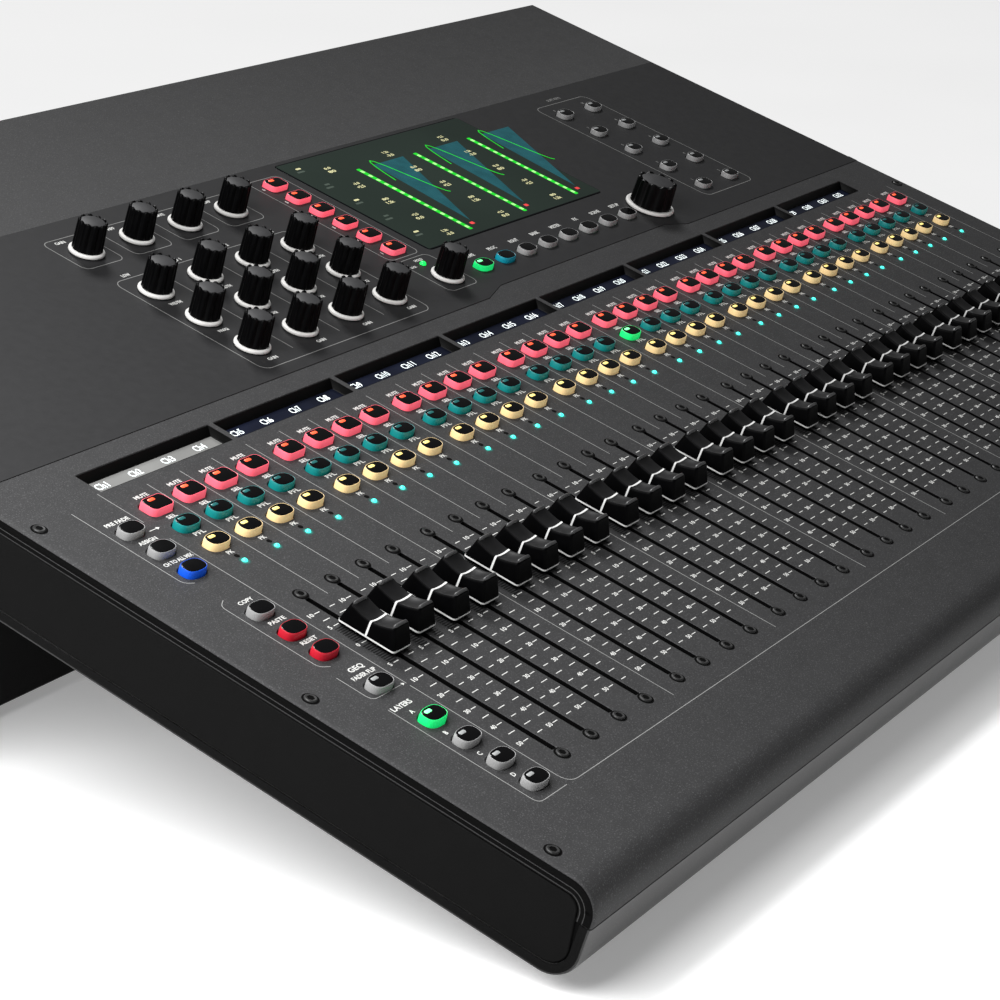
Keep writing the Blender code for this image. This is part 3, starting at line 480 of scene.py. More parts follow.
GREEN_LED = light("status_led", (0.01, 0.95, 0.12), 0.8)
LED_HALOS = tuple(light(f"led_halo_{reach}", colour, glow) for reach, colour, glow in (
    (16, (0.03, 0.2, 0.17), 0.5), (21, (0.035, 0.1, 0.09), 0.3), (26, (0.037, 0.06, 0.057), 0.15)))
DARK_LED = surface("peak_led", (0.003, 0.003, 0.003), 0.2, 1500, 0.003, specular=0.3)
DARK_GLASS = surface("display_glass", (0.004, 0.005, 0.006), 0.12, 700, 0.0, 0.2, 0.03, specular=0.2)
LCD_NAVY = surface("strip_display_dark", (0.006, 0.008, 0.018), 0.25, 500, 0.0, 0.35, 0.04, glow=0.25,
                   specular=0.2)
LCD_GREY = surface("strip_display_lit", (0.2, 0.2, 0.195), 0.3, 500, 0.0, 0.1, 0.04, glow=0.3, specular=0.2)
LCD_TEXT = light("display_text", (0.85, 0.95, 0.95), 1.1)
BEZEL = surface("display_bezel", (0.002, 0.002, 0.002), 0.5, 1800, 0.01, specular=0.1)
PICTURE = surface("screen_picture", (0.013, 0.021, 0.0165), 0.3, 120, 0.0, 0.12, 0.03, glow=0.5,
                  specular=0.15)
PICTURE_BLUE = light("screen_blue", (0.006, 0.07, 0.085), 0.5)
PICTURE_GREEN = light("screen_green", (0.01, 0.5, 0.02), 0.8)
PICTURE_LIME = light("screen_lime", (0.35, 0.85, 0.25), 0.8)
PICTURE_PALE = light("screen_pale", (0.62, 0.6, 0.33), 0.5)
PICTURE_RED = light("screen_red", (0.7, 0.05, 0.05), 0.6)
PICTURE_GREY = light("screen_grey", (0.06, 0.08, 0.065), 0.4)
SOCKET_PLASTIC = surface("socket_plastic", (0.01, 0.01, 0.01), 0.4, 2000, 0.015, specular=0.3)
# The plated fader mechanisms and stems, painted near-black as the shade under the slots.
SHADED_MECHANISM = surface("mechanism_painted_shade", (0.012, 0.012, 0.012), 0.5, 900, 0.02, 0.2, specular=0.2)
PLATED = surface("plated_contact", (0.62, 0.6, 0.55), 0.28, 1800, 0.004, 0.08, 0.08, metallic=1.0)
GOLD = surface("gold_contact", (0.8, 0.55, 0.2), 0.25, 1800, 0.004, 0.06, 0.06, metallic=1.0)
ZINC = surface("plated_sheet", (0.4, 0.4, 0.41), 0.34, 220, 0.01, 0.14, 0.1, streak=(1, 14, 1),
               metallic=1.0)
BOARD = surface("circuit_board", (0.012, 0.075, 0.032), 0.42, 260, 0.03, 0.3, 0.1, speckle=2.2)
RUBBER = surface("foot_rubber", (0.011, 0.011, 0.011), 0.75, 1300, 0.05, 0.15, 0.08, specular=0.2)


# ---------------------------------------------------------------- case

# Bands down the flanges, each between two depths: painted shade on the flange face and in the
# groove under it, painted highlight lines at their edges, then the darkened case coat.
EDGE_BANDS = ((0.7, 3.6, SHADOW), (3.6, 3.95, EDGE_HIGHLIGHT), (3.95, 5.5, SHADOW), (5.5, 5.85, EDGE_HIGHLIGHT),
              (5.85, TOP_FLANGE, SHADED_CASE_COAT))
# The tray's flange: a painted highlight line, then the darkened case coat.
TRAY_BANDS = ((0.4, 1.0, EDGE_HIGHLIGHT), (1.0, TRAY_FLANGE, SHADED_CASE_COAT))


def to_world(y, z):
    """World Y and Z of a deck point."""
    point = DECK_TURN @ Vector((0, y, z)) + DECK_ORIGIN
    return point.y, point.z


def bend(y, z, radius, turns):
    """Path round a bend of a sheet: Y and Z of its outer face and of the normal there."""
    normals = [(math.cos(math.radians(turn)), math.sin(math.radians(turn))) for turn in turns]
    return [(y + radius * ny, z + radius * nz, ny, nz) for ny, nz in normals]


def swept(section, path):
    """Rings of a section of (x, depth) along a path of (y, z, normal y, normal z)."""
    return [[(x, y - ny * depth, z - nz * depth) for x, depth in section] for y, z, ny, nz in path]


def folded_sheet(path, flange, outline=None, holes=()):
    """Bent sheet with a flange down each side.

    The path's first stretch is flat. The region between the flanges there follows the outline, if one is
    given, and has the holes.
    """
    edge = 1.2
    side = [(-HALF_WIDTH, flange), (-HALF_WIDTH, edge)]
    side += [(x, -y) for x, y in arc(-HALF_WIDTH + edge, -edge, edge, 180, 90, 4)[1:]]
    side.append((-HALF_WIDTH + FLAT_MARGIN, 0))
    inner = [(-HALF_WIDTH + FLAT_MARGIN, SHEET), (-HALF_WIDTH + SHEET, SHEET), (-HALF_WIDTH + SHEET, flange)]
    section = side + [(-x, depth) for x, depth in reversed(side)]
    section += [(-x, depth) for x, depth in reversed(inner)] + inner
    rings = swept(section, path)
    count, turn = len(section), len(side)
    flat = {turn - 1, 2 * turn + len(inner) - 1}
    points = [point for ring in rings for point in ring]
    faces = []
    for level in range(len(rings) - 1):
        for index in range(count):
            if level or index not in flat:
                after = (index + 1) % count
                faces.append((level * count + index, level * count + after,
                              (level + 1) * count + after, (level + 1) * count + index))
    parts = [(points, faces), fill([rings[-1]])]
    for sign in (1, -1):
        parts.append(fill(swept([(sign * x, depth) for x, depth in side + inner], path[:1])))
    reach = HALF_WIDTH - FLAT_MARGIN
    front, rear = path[1][0], path[0][0]
    outline = outline or [(-reach, front), (reach, front), (reach, rear), (-reach, rear)]
    bevel = 0.2
    tops, bottoms = [at(outline, 0)], [at(outline, -SHEET)]
    for hole in holes:
        bottoms.append(at(hole, -SHEET))
        tops.append(at(grow(hole, bevel), 0))
        parts.append(loft([bottoms[-1], at(hole, -bevel), tops[-1]], close=False))
    for index in range(2, len(outline) - 1):
        quad = [tops[0][index], tops[0][index + 1], bottoms[0][index + 1], bottoms[0][index]]
        parts.append((quad, [(0, 1, 2, 3)]))
    parts += [fill(tops), fill(bottoms)]
    return joined(*parts)


def add_edge_lines(piece, path, bands):
    """Thin bands of painted shade and highlight down a sheet's flanges, each between two depths in a look."""
    inside, outside = HALF_WIDTH - 0.4, HALF_WIDTH + 0.05
    for high, low, look in bands:
        section = ((inside, high), (outside, high), (outside, low), (inside, low))
        for sign in (-1, 1):
            piece.add(loft(swept([(sign * x, depth) for x, depth in section[::sign]], path)), look)


def slot_outline(x, width=SLOT_WIDTH, trim=0.0):
    return soft_rect(x, (SLOT_FRONT_Y + SLOT_REAR_Y) / 2, width, SLOT_REAR_Y - SLOT_FRONT_Y - trim, 0.4, 2)


def channel_holes():
    holes = [slot_outline(x) for x in STRIP_XS]
    holes += [key_hole("square", x, y) for x, y in row_places(MUTE_Y)]
    holes += [key_hole("oval", x, y) for x, y in row_places(SELECT_Y) + row_places(CUE_Y) + function_places()]
    middle, height = (DISPLAY_FRONT_Y + DISPLAY_REAR_Y) / 2, DISPLAY_REAR_Y - DISPLAY_FRONT_Y
    holes += [soft_rect(display_x(index), middle, 2 * DISPLAY_HALF, height, 0.8, 3)
              for index in range(DISPLAYS)]
    return holes


def row_places(y):
    return [(x + KEY_SHIFT[0], y + KEY_SHIFT[1]) for x in STRIP_XS]


def function_places():
    return [(FUNCTION_X, y) for y in FUNCTION_YS]


def display_x(index):
    return DISPLAY_X + DISPLAY_PITCH * index


def key_outline(shape, x, y, shrink=0.0):
    if shape == "square":
        width, height = MUTE_KEY
        return soft_rect(x, y, width - shrink, height - shrink, 2.6 - shrink / 3)
    width, height = OVAL_KEY
    return oval(x, y, width - shrink, height - shrink)


def key_hole(shape, x, y):
    return key_outline(shape, x, y, -2 * KEY_HOLE_CLEARANCE)


def make_deck_panel():
    path = [(DECK_REAR_Y, 0, 0, 1), (UPPER_BEND_Y + 3, 0, 0, 1), (UPPER_BEND_Y, 0, 0, 1)]
    path += bend(UPPER_BEND_Y, -UPPER_BEND_RADIUS, UPPER_BEND_RADIUS, range(96, 181, 6))
    path.append((NOSE_FRONT_Y, NOSE_SEAM_Z, -1, 0))
    reach = HALF_WIDTH - FLAT_MARGIN
    outline = [(-reach, path[1][0]), (reach, path[1][0]), (reach, DECK_REAR_Y)]
    outline += [(x, DECK_REAR_Y + step) for x, step in reversed(OVERLAY_STEP)] + [(-reach, DECK_REAR_Y)]
    deck = Piece(DECK)
    deck.add(folded_sheet(path, TOP_FLANGE, outline, channel_holes()), DECK_COAT)
    add_edge_lines(deck, path, EDGE_BANDS)
    dust_strip = SLOT_WIDTH / 2 + 0.3
    for x in STRIP_XS:
        # Painted shade lining each slot; under it the dust brushes, which are really black.
        lining = slot_outline(x, SLOT_WIDTH - 0.06, 0.06)
        deck.add(stack((lining, -0.25), (lining, -SHEET - 0.4), close=False), SHADOW)
        for side in (-1, 1):
            strip = soft_rect(x + side * dust_strip, (SLOT_FRONT_Y + SLOT_REAR_Y) / 2, 1.4,
                              SLOT_REAR_Y - SLOT_FRONT_Y + 4, 0.2, 2)
            deck.add(prism(strip, -SHEET - 0.5, -SHEET - 0.1), SHADOW)
    deck.make("deck_shell", "deck_powder_coat", ["deck_panel"])


def knob_places():
    """Body name, x, y and size of every knob."""
    places = [(f"knob_{row + 1}_{column + 1}", PEQ_X + PEQ_PITCH * column, y, 1.0)
              for row, y in enumerate(PEQ_YS) for column in range(PEQ_COLUMNS)]
    places += [(f"knob_back_{column + 1}", PEQ_X + PEQ_PITCH * column, BACK_ROW_Y, 1.0)
               for column in range(PEQ_COLUMNS)]
    return places + [("screen_knob", *SCREEN_KNOB, 1.0), ("wheel_knob", *WHEEL_KNOB, WHEEL_SCALE)]


def control_holes():
    holes = [circle(x, y, SHAFT_HOLE, 20) for _, x, y, _ in knob_places()]
    width, height = SCREEN_SIZE
    holes.append(soft_rect(SCREEN_X, SCREEN_Y, width + 0.6, height + 0.6, 3.0))
    holes += [key_hole("square", x, y) for x, y in mute_group_places()]
    return holes + [key_hole("oval", x, y) for x, y in screen_key_places() + soft_key_places()]


def mute_group_places():
    return [(MUTE_GROUP_X, MUTE_GROUP_Y + MUTE_GROUP_PITCH * index) for index in range(MUTE_GROUPS)]


def screen_key_places():
    return [(SCREEN_KEY_X + SCREEN_KEY_PITCH * index, SCREEN_KEY_Y) for index in range(SCREEN_KEYS)]


def soft_key_places():
    return [(SOFT_KEY_X + SOFT_KEY_PITCH_X * column, SOFT_KEY_Y + SOFT_KEY_PITCH_Y * row)
            for row in range(SOFT_ROWS) for column in range(SOFT_COLUMNS)]


def make_control_panel():
    """Folded sheet under a smoother film that steps back in front of the screen."""
    front = DECK_REAR_Y + OVERLAY_GAP
    reach = HALF_WIDTH - FLAT_MARGIN
    step = [(x, front + back) for x, back in OVERLAY_STEP]
    holes = control_holes()
    panel = Piece(DECK)
    path = [(CONTROL_REAR_Y, 0, 0, 1), (DECK_REAR_Y + 6.4, 0, 0, 1), (front, 0, 0, 1)]
    plain = [(-reach, path[1][0]), (reach, path[1][0]), (reach, CONTROL_REAR_Y), (-reach, CONTROL_REAR_Y)]
    panel.add(folded_sheet(path[:2], TOP_FLANGE, plain, holes), DECK_COAT)
    add_edge_lines(panel, path, EDGE_BANDS)
    film = [(-reach, front)] + step + [(reach, front), (reach, CONTROL_REAR_Y), (-reach, CONTROL_REAR_Y)]
    panel.add(plate(film, -0.15, OVERLAY_TOP, holes, 0.06), OVERLAY)
    left_ear = [(-HALF_WIDTH, front), (-reach, front), (-reach, path[1][0]), (-HALF_WIDTH, path[1][0])]
    for sign in (1, -1):
        ear = [(sign * x, y) for x, y in left_ear[::sign]]
        panel.add(plate(ear, -TOP_FLANGE, 0, (), 0.3), DECK_COAT)
    panel.make("control_panel_shell", "control_overlay", ["control_panel"])


def make_rear_cover():
    path = [(COVER_REAR_Y, 0, 0, 1), (COVER_FRONT_Y, 0, 0, 1)]
    cover = Piece(DECK)
    cover.add(folded_sheet(path, TOP_FLANGE), DECK_COAT)
    add_edge_lines(cover, path, EDGE_BANDS)
    cover.make("rear_cover_shell", "deck_powder_coat", ["rear_cover"])


def make_front_tray():
    """Sheet under the slab, from the nose seam back to the pod."""
    path = [(SLAB_END_Y, -SLAB_DEPTH, 0, -1), (LOWER_BEND_Y, -SLAB_DEPTH, 0, -1)]
    path += bend(LOWER_BEND_Y, LOWER_BEND_Z, LOWER_BEND_RADIUS, range(264, 179, -6))
    path.append((NOSE_FRONT_Y, NOSE_SEAM_Z - NOSE_SEAM_GAP, -1, 0))
    edge = ((0, TRAY_FLANGE), (0, 1.0), (0.3, 0.3), (1.0, 0))
    section = [(inset - HALF_WIDTH, depth) for inset, depth in edge]
    section += [(-x, depth) for x, depth in reversed(section)]
    section += [(HALF_WIDTH - SHEET, TRAY_FLANGE), (HALF_WIDTH - SHEET, SHEET),
                (-HALF_WIDTH + SHEET, SHEET), (-HALF_WIDTH + SHEET, TRAY_FLANGE)]
    tray = Piece(DECK)
    tray.add(capped(swept(section, path)), LIT_TRAY_COAT)
    add_edge_lines(tray, path, TRAY_BANDS)
    tray.make("front_tray_shell", "case_powder_coat", ["front_tray"])


def pod_front():
    """Lower and upper end of the pod's raked front."""
    top_y, top_z = to_world(POD_FRONT_Y, -SLAB_DEPTH)
    return (top_y + POD_FRONT_RAKE, FLOOR_GAP), (top_y, top_z)


def cheek_outline(top, bottom, nose):
    """Side outline in the world's Y and Z. top, bottom and nose say how far it stays inside the case."""
    bend = UPPER_BEND_RADIUS - top
    outline = [(y, -UPPER_BEND_RADIUS + z) for y, z in arc(UPPER_BEND_Y, 0, bend, 90, 180, 8)]
    lower = LOWER_BEND_RADIUS - nose
    outline += arc(LOWER_BEND_Y, LOWER_BEND_Z, lower, 180, 270, 8)
    underside = bottom - SLAB_DEPTH
    world = [to_world(y, max(z, underside)) for y, z in outline] + [to_world(POD_FRONT_Y - 2, underside)]
    front_y, floor_z = pod_front()[0]
    rear_y = REAR_FACE - 0.6
    return world + [(front_y + 0.6, floor_z + 1.0), (rear_y, floor_z + 1.0),
                    (rear_y, to_world(COVER_REAR_Y, -top)[1])]


def make_cheeks():
    """Each side is an outer plate leaving a groove along deck and tray, over an inner plate of painted shade.
    """
    top, bottom = TOP_FLANGE + TOP_GROOVE, TRAY_FLANGE + TRAY_GROOVE
    layers = ((cheek_outline(2.2, 1.2, 2.0), CHEEK, GROOVE_DEPTH, SHADOW),
              (cheek_outline(top, bottom, bottom), GROOVE_DEPTH + 0.05, 0.0, SHADED_CASE_COAT))
    for side, sign in (("left", -1), ("right", 1)):
        cheek = Piece(WORLD)
        for outline, inner, outer, look in layers:
            flat = [(sign * y, z) for y, z in outline]
            flat = flat if signed_area(flat) > 0 else flat[::-1]
            points, faces = plate(flat, 0, inner - outer, (), 0.35 if outer == 0 else 0.05)
            reach = HALF_WIDTH - inner
            upright = [(sign * (reach + z), sign * y, height) for y, height, z in points]
            cheek.add((upright, faces), look)
        cheek.make(f"{side}_cheek_plate", "case_powder_coat", [f"{side}_cheek"])


def signed_area(outline):
    return sum(x * outline[(index + 1) % len(outline)][1] - outline[(index + 1) % len(outline)][0] * y
               for index, (x, y) in enumerate(outline)) / 2


def make_pod_tray():
    (front, floor), high = pod_front()
    inside = REAR_FACE - 2.4
    reach = HALF_WIDTH - CHEEK - 0.3
    outline = [high, (front - 0.3, floor + 1.5), (front + 1.5, floor), (inside, floor),
               (inside, floor + SHEET), (front + 2.4, floor + SHEET), (front + SHEET, floor + 2.4),
               (high[0] + SHEET, high[1])]
    tray = Piece(WORLD)
    tray.add(capped([[(x, y, z) for y, z in outline] for x in (-reach, reach)]), SHADED_CASE_COAT)
    for x in POD_SCREW_XS:
        for y in (front + 14, REAR_FACE - 16):
            tray.add(screw(2.8), SCREW_STEEL, x, y, floor - 0.75)
    tray.make("pod_tray_shell", "case_powder_coat", ["pod_tray"])


def make_feet():
    for side in ("left", "right"):
        for end in ("front", "rear"):
            low, high = corners(f"foot_{end}_{side}")
            middle = (low + high) / 2
            radius = (high.x - low.x) / 2
            slope = math.tan(DECK_TILT) if end == "front" else 0.0
            top = high.z - radius * slope if slope else high.z
            profile = [(radius * 0.72, 0.4), (radius * 0.78, 0.0), (radius * 0.86, 0.0), (radius * 0.9, 0.5),
                       (radius, top * 0.9), (radius, top)]
            rings = []
            for index, (reach, z) in enumerate(profile):
                lean = slope if index > 3 else 0
                rings.append([(x, y, z + lean * y) for x, y in circle(0, 0, reach, 40)])
            foot = Piece(WORLD)
            foot.add(loft(rings), RUBBER, middle.x, middle.y, 0)
            foot.make(f"foot_{end}_{side}_pad", "foot_rubber", [f"foot_{end}_{side}"])


# ---------------------------------------------------------------- fixings

def screw(radius, height=0.7):
    """Round-headed screw with a hexagonal socket, its head standing on z = 0."""
    sides, socket, depth = 24, radius * 0.6, -0.6
    profile = ((0.92, -0.8), (1, 0.05), (0.97, height * 0.55), (0.82, height), (0.7, height * 0.96))
    rings = [(circle(0, 0, radius * share, sides), z) for share, z in profile]
    hexagon = []
    for x, y in circle(0, 0, 1, sides):
        turn = math.atan2(y, x) % (math.pi / 3) - math.pi / 6
        reach = socket * math.cos(math.pi / 6) / math.cos(turn)
        hexagon.append((x * reach, y * reach))
    return stack(*rings, (hexagon, height * 0.9), (hexagon, depth))


def add_screw(piece, radius, x, y, height=0.7):
    """Screw with painted shade in its socket."""
    piece.add(screw(radius, height), SCREW_STEEL, x, y)
    piece.add(turned([(radius * 0.54, -0.62), (radius * 0.54, 0.45)], 12), SHADOW, x, y)


def screw_well(radius):
    """Ring of painted shade round a screw head."""
    return turned([(radius, -0.3), (radius + 0.8, -0.1), (radius + 0.8, 0.06), (radius - 0.4, 0.06)], 24)


def make_deck_screws():
    screws = Piece(DECK)
    places = [(x, y, 2.55) for x in STRIP_XS for y in FADER_SCREW_YS]
    places += [(sign * DECK_SCREW_X, y, 2.6) for sign in (-1, 1) for y in DECK_SCREW_YS]
    for x, y, radius in places:
        screws.add(screw_well(radius), SHADOW, x, y)
        add_screw(screws, radius, x, y)
    screws.make("deck_screws", "plated_metal")


# ---------------------------------------------------------------- keys

KEY_RINGS = ((0.0, -1.5), (0.0, 0.2), (0.0, 1.1), (0.15, 2.1), (0.35, 2.6), (0.5, 2.8), (0.65, 2.85),
             (0.85, 2.8), (0.9, 2.6))
KEY_CAP_RINGS = ((0.9, 2.4), (0.9, 2.8), (1.1, 2.88), (1.7, 2.92))
KEY_WINDOW = (3.7, 1.6)
WINDOW_SHIFTS = {"square": (-1.5, 2.1), "oval": (-1.7, 1.7)}

# Styles of key: boot and window.
MUTE, SELECT, CUE = (MUTE_BOOT, MUTE_WINDOW), (SELECT_BOOT, SELECT_WINDOW), (CUE_BOOT, CUE_WINDOW)
PLAIN, GREY, RED, BLUE = (GREY_BOOT, None), (GREY_BOOT, GREY_WINDOW), (RED_BOOT, None), (BLUE_BOOT, None)
GREEN, CYAN = (GREEN_BOOT, GREEN_WINDOW), (CYAN_BOOT, None)
LIT_CHANNEL = 17
STRIPS = len(STRIP_XS)
SELECT_STYLES = [SELECT] * (LIT_CHANNEL - 1) + [GREEN] + [SELECT] * (STRIPS - LIT_CHANNEL)
FUNCTION_STYLES = (PLAIN, PLAIN, BLUE, PLAIN, RED, RED, GREY, GREEN, GREY, GREY, GREY)
SCREEN_STYLES = [GREEN, CYAN] + [PLAIN] * (SCREEN_KEYS - 2)


def add_key(piece, shape, x, y, boot, window=None):
    """Silicone boot round a glossy cap, with a small lit window towards its rear left."""
    for rings, look in ((KEY_RINGS, boot), (KEY_CAP_RINGS, KEY_CAP)):
        piece.add(stack(*[(key_outline(shape, x, y, shrink), z) for shrink, z in rings]), look)
    if window:
        along, back = WINDOW_SHIFTS[shape]
        bar = soft_rect(x + along, y + back, *KEY_WINDOW, 0.6, 3)
        piece.add(stack((bar, 2.6), (bar, 3.05), (grow(bar, -0.15), 3.13)), window)


def make_key_mat(name, slot, shape, places, styles):
    """Keys on one web, with a style for each place. The web has the first key's colour."""
    mat, web_look = Piece(DECK), styles[0][0]
    for (x, y), (boot, window) in zip(places, styles):
        add_key(mat, shape, x, y, boot, window)
        mat.add(prism(grow(key_outline(shape, x, y), 1.2), -4.3, -3.3), web_look)
        mat.add(prism(grow(key_outline(shape, x, y), -1.0), -3.6, -1.2), boot)
    xs, ys = zip(*places)
    web = soft_rect((min(xs) + max(xs)) / 2, (min(ys) + max(ys)) / 2, max(xs) - min(xs) + 9,
                    max(ys) - min(ys) + 7, 1.5)
    mat.add(prism(web, -4.2, -3.4), web_look)
    mat.make(f"{name}_mat", slot, [name], name, weld=False)


def make_keys():
    make_key_mat("mute_keys", "mute_silicone", "square", row_places(MUTE_Y), [MUTE] * STRIPS)
    make_key_mat("select_keys", "select_silicone", "oval", row_places(SELECT_Y), SELECT_STYLES)
    make_key_mat("cue_keys", "cue_silicone", "oval", row_places(CUE_Y), [CUE] * STRIPS)
    make_key_mat("function_keys", "grey_silicone", "oval", function_places(), FUNCTION_STYLES)
    make_key_mat("mute_group_keys", "mute_silicone", "square", mute_group_places(), [MUTE] * MUTE_GROUPS)
    make_key_mat("screen_keys", "grey_silicone", "oval", screen_key_places(), SCREEN_STYLES)
    make_key_mat("soft_keys", "grey_silicone", "oval", soft_key_places(), [GREY] * SOFT_COLUMNS * SOFT_ROWS)


# ---------------------------------------------------------------- faders

def cap_height(share):
    """Height of a cap's top edge along its length, from -1 at the front crest to 1 at the rear crest."""
    crest = CAP_REAR if share > 0 else CAP_FRONT
    return CAP_SADDLE + (crest - CAP_SADDLE) * abs(share) ** 1.7


def cap_outline(width, length, radius):
    """Outline with extra points along its sides: right side, rear, left side, front."""
    half, reach = width / 2, length / 2 - radius
    sides = [-reach + 2 * reach * step / CAP_STEPS for step in range(CAP_STEPS + 1)]
    rear = arc(half - radius, reach, radius, 0, 90, 4)[1:]
    rear += arc(radius - half, reach, radius, 90, 180, 4)[:-1]
    front = arc(radius - half, -reach, radius, 180, 270, 4)[1:]
    front += arc(half - radius, -reach, radius, 270, 360, 4)[:-1]
    return [(half, y) for y in sides] + rear + [(-half, -y) for y in sides] + front


def cap_sag(x, y):
    """How far the top lies under its edges: dished across the saddle, crowned at the crests."""
    edge = 1 - min(1.0, abs(x) / (CAP_TOP_WIDTH / 2 - 0.65)) ** 2
    share = min(1.0, abs(y) / (CAP_TOP_LENGTH / 2))
    return edge * (CAP_DISH * (1 - share ** 2) - CAP_CROWN * share ** 3)


def cap_ring(width, length, radius, z=None, drop=0.0):
    """Ring round a cap, at height z or that far under the edge of its top."""
    points = []
    for x, y in cap_outline(width, length, radius):
        share = max(-1.0, min(1.0, y / (CAP_TOP_LENGTH / 2)))
        points.append((x, y, z if z is not None else cap_height(share) - drop))
    return points


def ribbon(path, half):
    """Closed strip along a path of (x, z) points, between -half and half in y and a little way down."""
    loop = path + [(x * 0.95, z - 0.3) for x, z in reversed(path)]
    points, faces = loft([[(x, y, z) for x, z in loop] for y in (-half, half)], close=False)
    for start in (0, len(loop)):
        for index in range(len(path) - 1):
            near, far = start + index, start + len(loop) - 1 - index
            faces.append((near, near + 1, far - 1, far))
    return points, faces


def make_cap_shapes():
    """Walls of a cap, its dished top, lips at its crests, the line across it and the line round its base."""
    top = cap_ring(CAP_TOP_WIDTH - 1.3, CAP_TOP_LENGTH - 1.3, 1.2)
    rim = cap_ring(CAP_TOP_WIDTH - 0.5, CAP_TOP_LENGTH - 0.5, 1.4, None, 0.02)
    walls = [cap_ring(CAP_WIDTH - 0.6, CAP_LENGTH - 0.6, 1.2, CAP_BOTTOM),
             cap_ring(CAP_WIDTH, CAP_LENGTH, 1.4, CAP_BOTTOM + 0.6),
             cap_ring(CAP_WIDTH, CAP_LENGTH - 0.1, 1.4, CAP_LINE_HIGH),
             cap_ring(CAP_TOP_WIDTH + 0.3, CAP_TOP_LENGTH + 0.6, 1.5, None, 1.1),
             cap_ring(CAP_TOP_WIDTH + 0.05, CAP_TOP_LENGTH + 0.1, 1.5, None, 0.4), rim]
    body, wall_faces = loft(walls, close=False)
    wall_faces.append(tuple(reversed(range(len(rim)))))

    rings = [rim, top]
    for share in (0.85, 0.65, 0.4, 0.15):
        rings.append([(x * share, y, z - cap_sag(x * share, y)) for x, y, z in top])
    points, faces = loft(rings, close=False)
    start, side, bend = (len(rings) - 1) * len(top), CAP_STEPS + 1, 7
    right, left = start, start + side + bend
    for near, far in zip(range(right, right + CAP_STEPS), range(left + CAP_STEPS, left, -1)):
        faces.append((near, near + 1, far - 1, far))
    faces.append(tuple(range(right + CAP_STEPS, left + 1)))
    faces.append((*range(left + CAP_STEPS, start + len(top)), right))
    saddle = points, faces

    lips = []
    for end in (-1, 1):
        y = end * (CAP_TOP_LENGTH / 2 - 1.0)
        sections = []
        for step in range(-6, 7):
            x, bulge = 4.3 * step / 6, 0.75 if abs(step) < 6 else 0.3
            z = cap_height(end * 0.92) - cap_sag(x, y)
            sections.append([(x, y + along, z + up) for along, up in circle(0, 0, bulge, 8)])
        lips.append(loft(sections))

    proud, across = 0.12, CAP_TOP_WIDTH / 2
    climb = [(CAP_WIDTH / 2 + proud, CAP_LINE_HIGH - 0.1), (across + 0.15 + proud, CAP_SADDLE - 1.1),
             (across + 0.025 + proud, CAP_SADDLE - 0.4), (across - 0.23, CAP_SADDLE + proud)]
    flat = [(x, CAP_SADDLE + proud - cap_sag(x, 0))
            for x in ((across - 0.65) * step / 10 for step in range(10, -11, -1))]
    cross = ribbon(climb + flat + [(-x, z) for x, z in reversed(climb)], CAP_LINE_WIDTH / 2)
    base = [cap_ring(CAP_WIDTH + grown, CAP_LENGTH + grown, 1.4, z)
            for grown, z in ((-0.3, CAP_LINE_LOW), (0.06, CAP_LINE_LOW), (0.06, CAP_LINE_HIGH),
                             (-0.3, CAP_LINE_HIGH))]
    return (body, wall_faces), saddle, joined(*lips), cross, loft(base + base[:1], close=False)


def make_faders():
    # Walls in painted shade, top in painted sheen, lips in painted highlight, then the white lines.
    looks = list(zip(make_cap_shapes(), (CAP_PLASTIC, CAP_TOP, CAP_LIP_HIGHLIGHT, CAP_LINE, CAP_LINE)))
    stem = prism(soft_rect(0, 0, 1.6, 6, 0.3, 2), -4.2, 1.1)
    groups = [(f"fader_{index + 1:02d}", STRIP_XS[index:index + 1]) for index in range(SINGLE_FADERS)]
    groups += [(f"fader_bank_{first + 1:02d}_{first + 4:02d}", STRIP_XS[first:first + 4])
               for first in range(SINGLE_FADERS, CHANNELS, 4)]
    groups.append(("main_fader", [STRIP_XS[-1]]))
    for name, xs in groups:
        fader = Piece(DECK)
        for x in xs:
            cap_y = FADER_ZERO_Y + (CAP_RAISE if x == STRIP_XS[RAISED_CHANNEL - 1] else 0)
            for shape, look in looks:
                fader.add(shape, look, x + CAP_SHIFT, cap_y)
            fader.add(stem, SHADED_MECHANISM, x, cap_y)
        length = 22 if len(xs) == 1 else 12
        carriage = soft_rect((xs[0] + xs[-1]) / 2, FADER_ZERO_Y, xs[-1] - xs[0] + 10, length, 1.0)
        inner = grow(carriage, -0.3)
        fader.add(stack((inner, -9), (carriage, -8.7), (carriage, -4.3), (inner, -4)), SOCKET_PLASTIC)
        fader.make(f"{name}_caps", "fader_cap", [name], name)


# ---------------------------------------------------------------- knobs

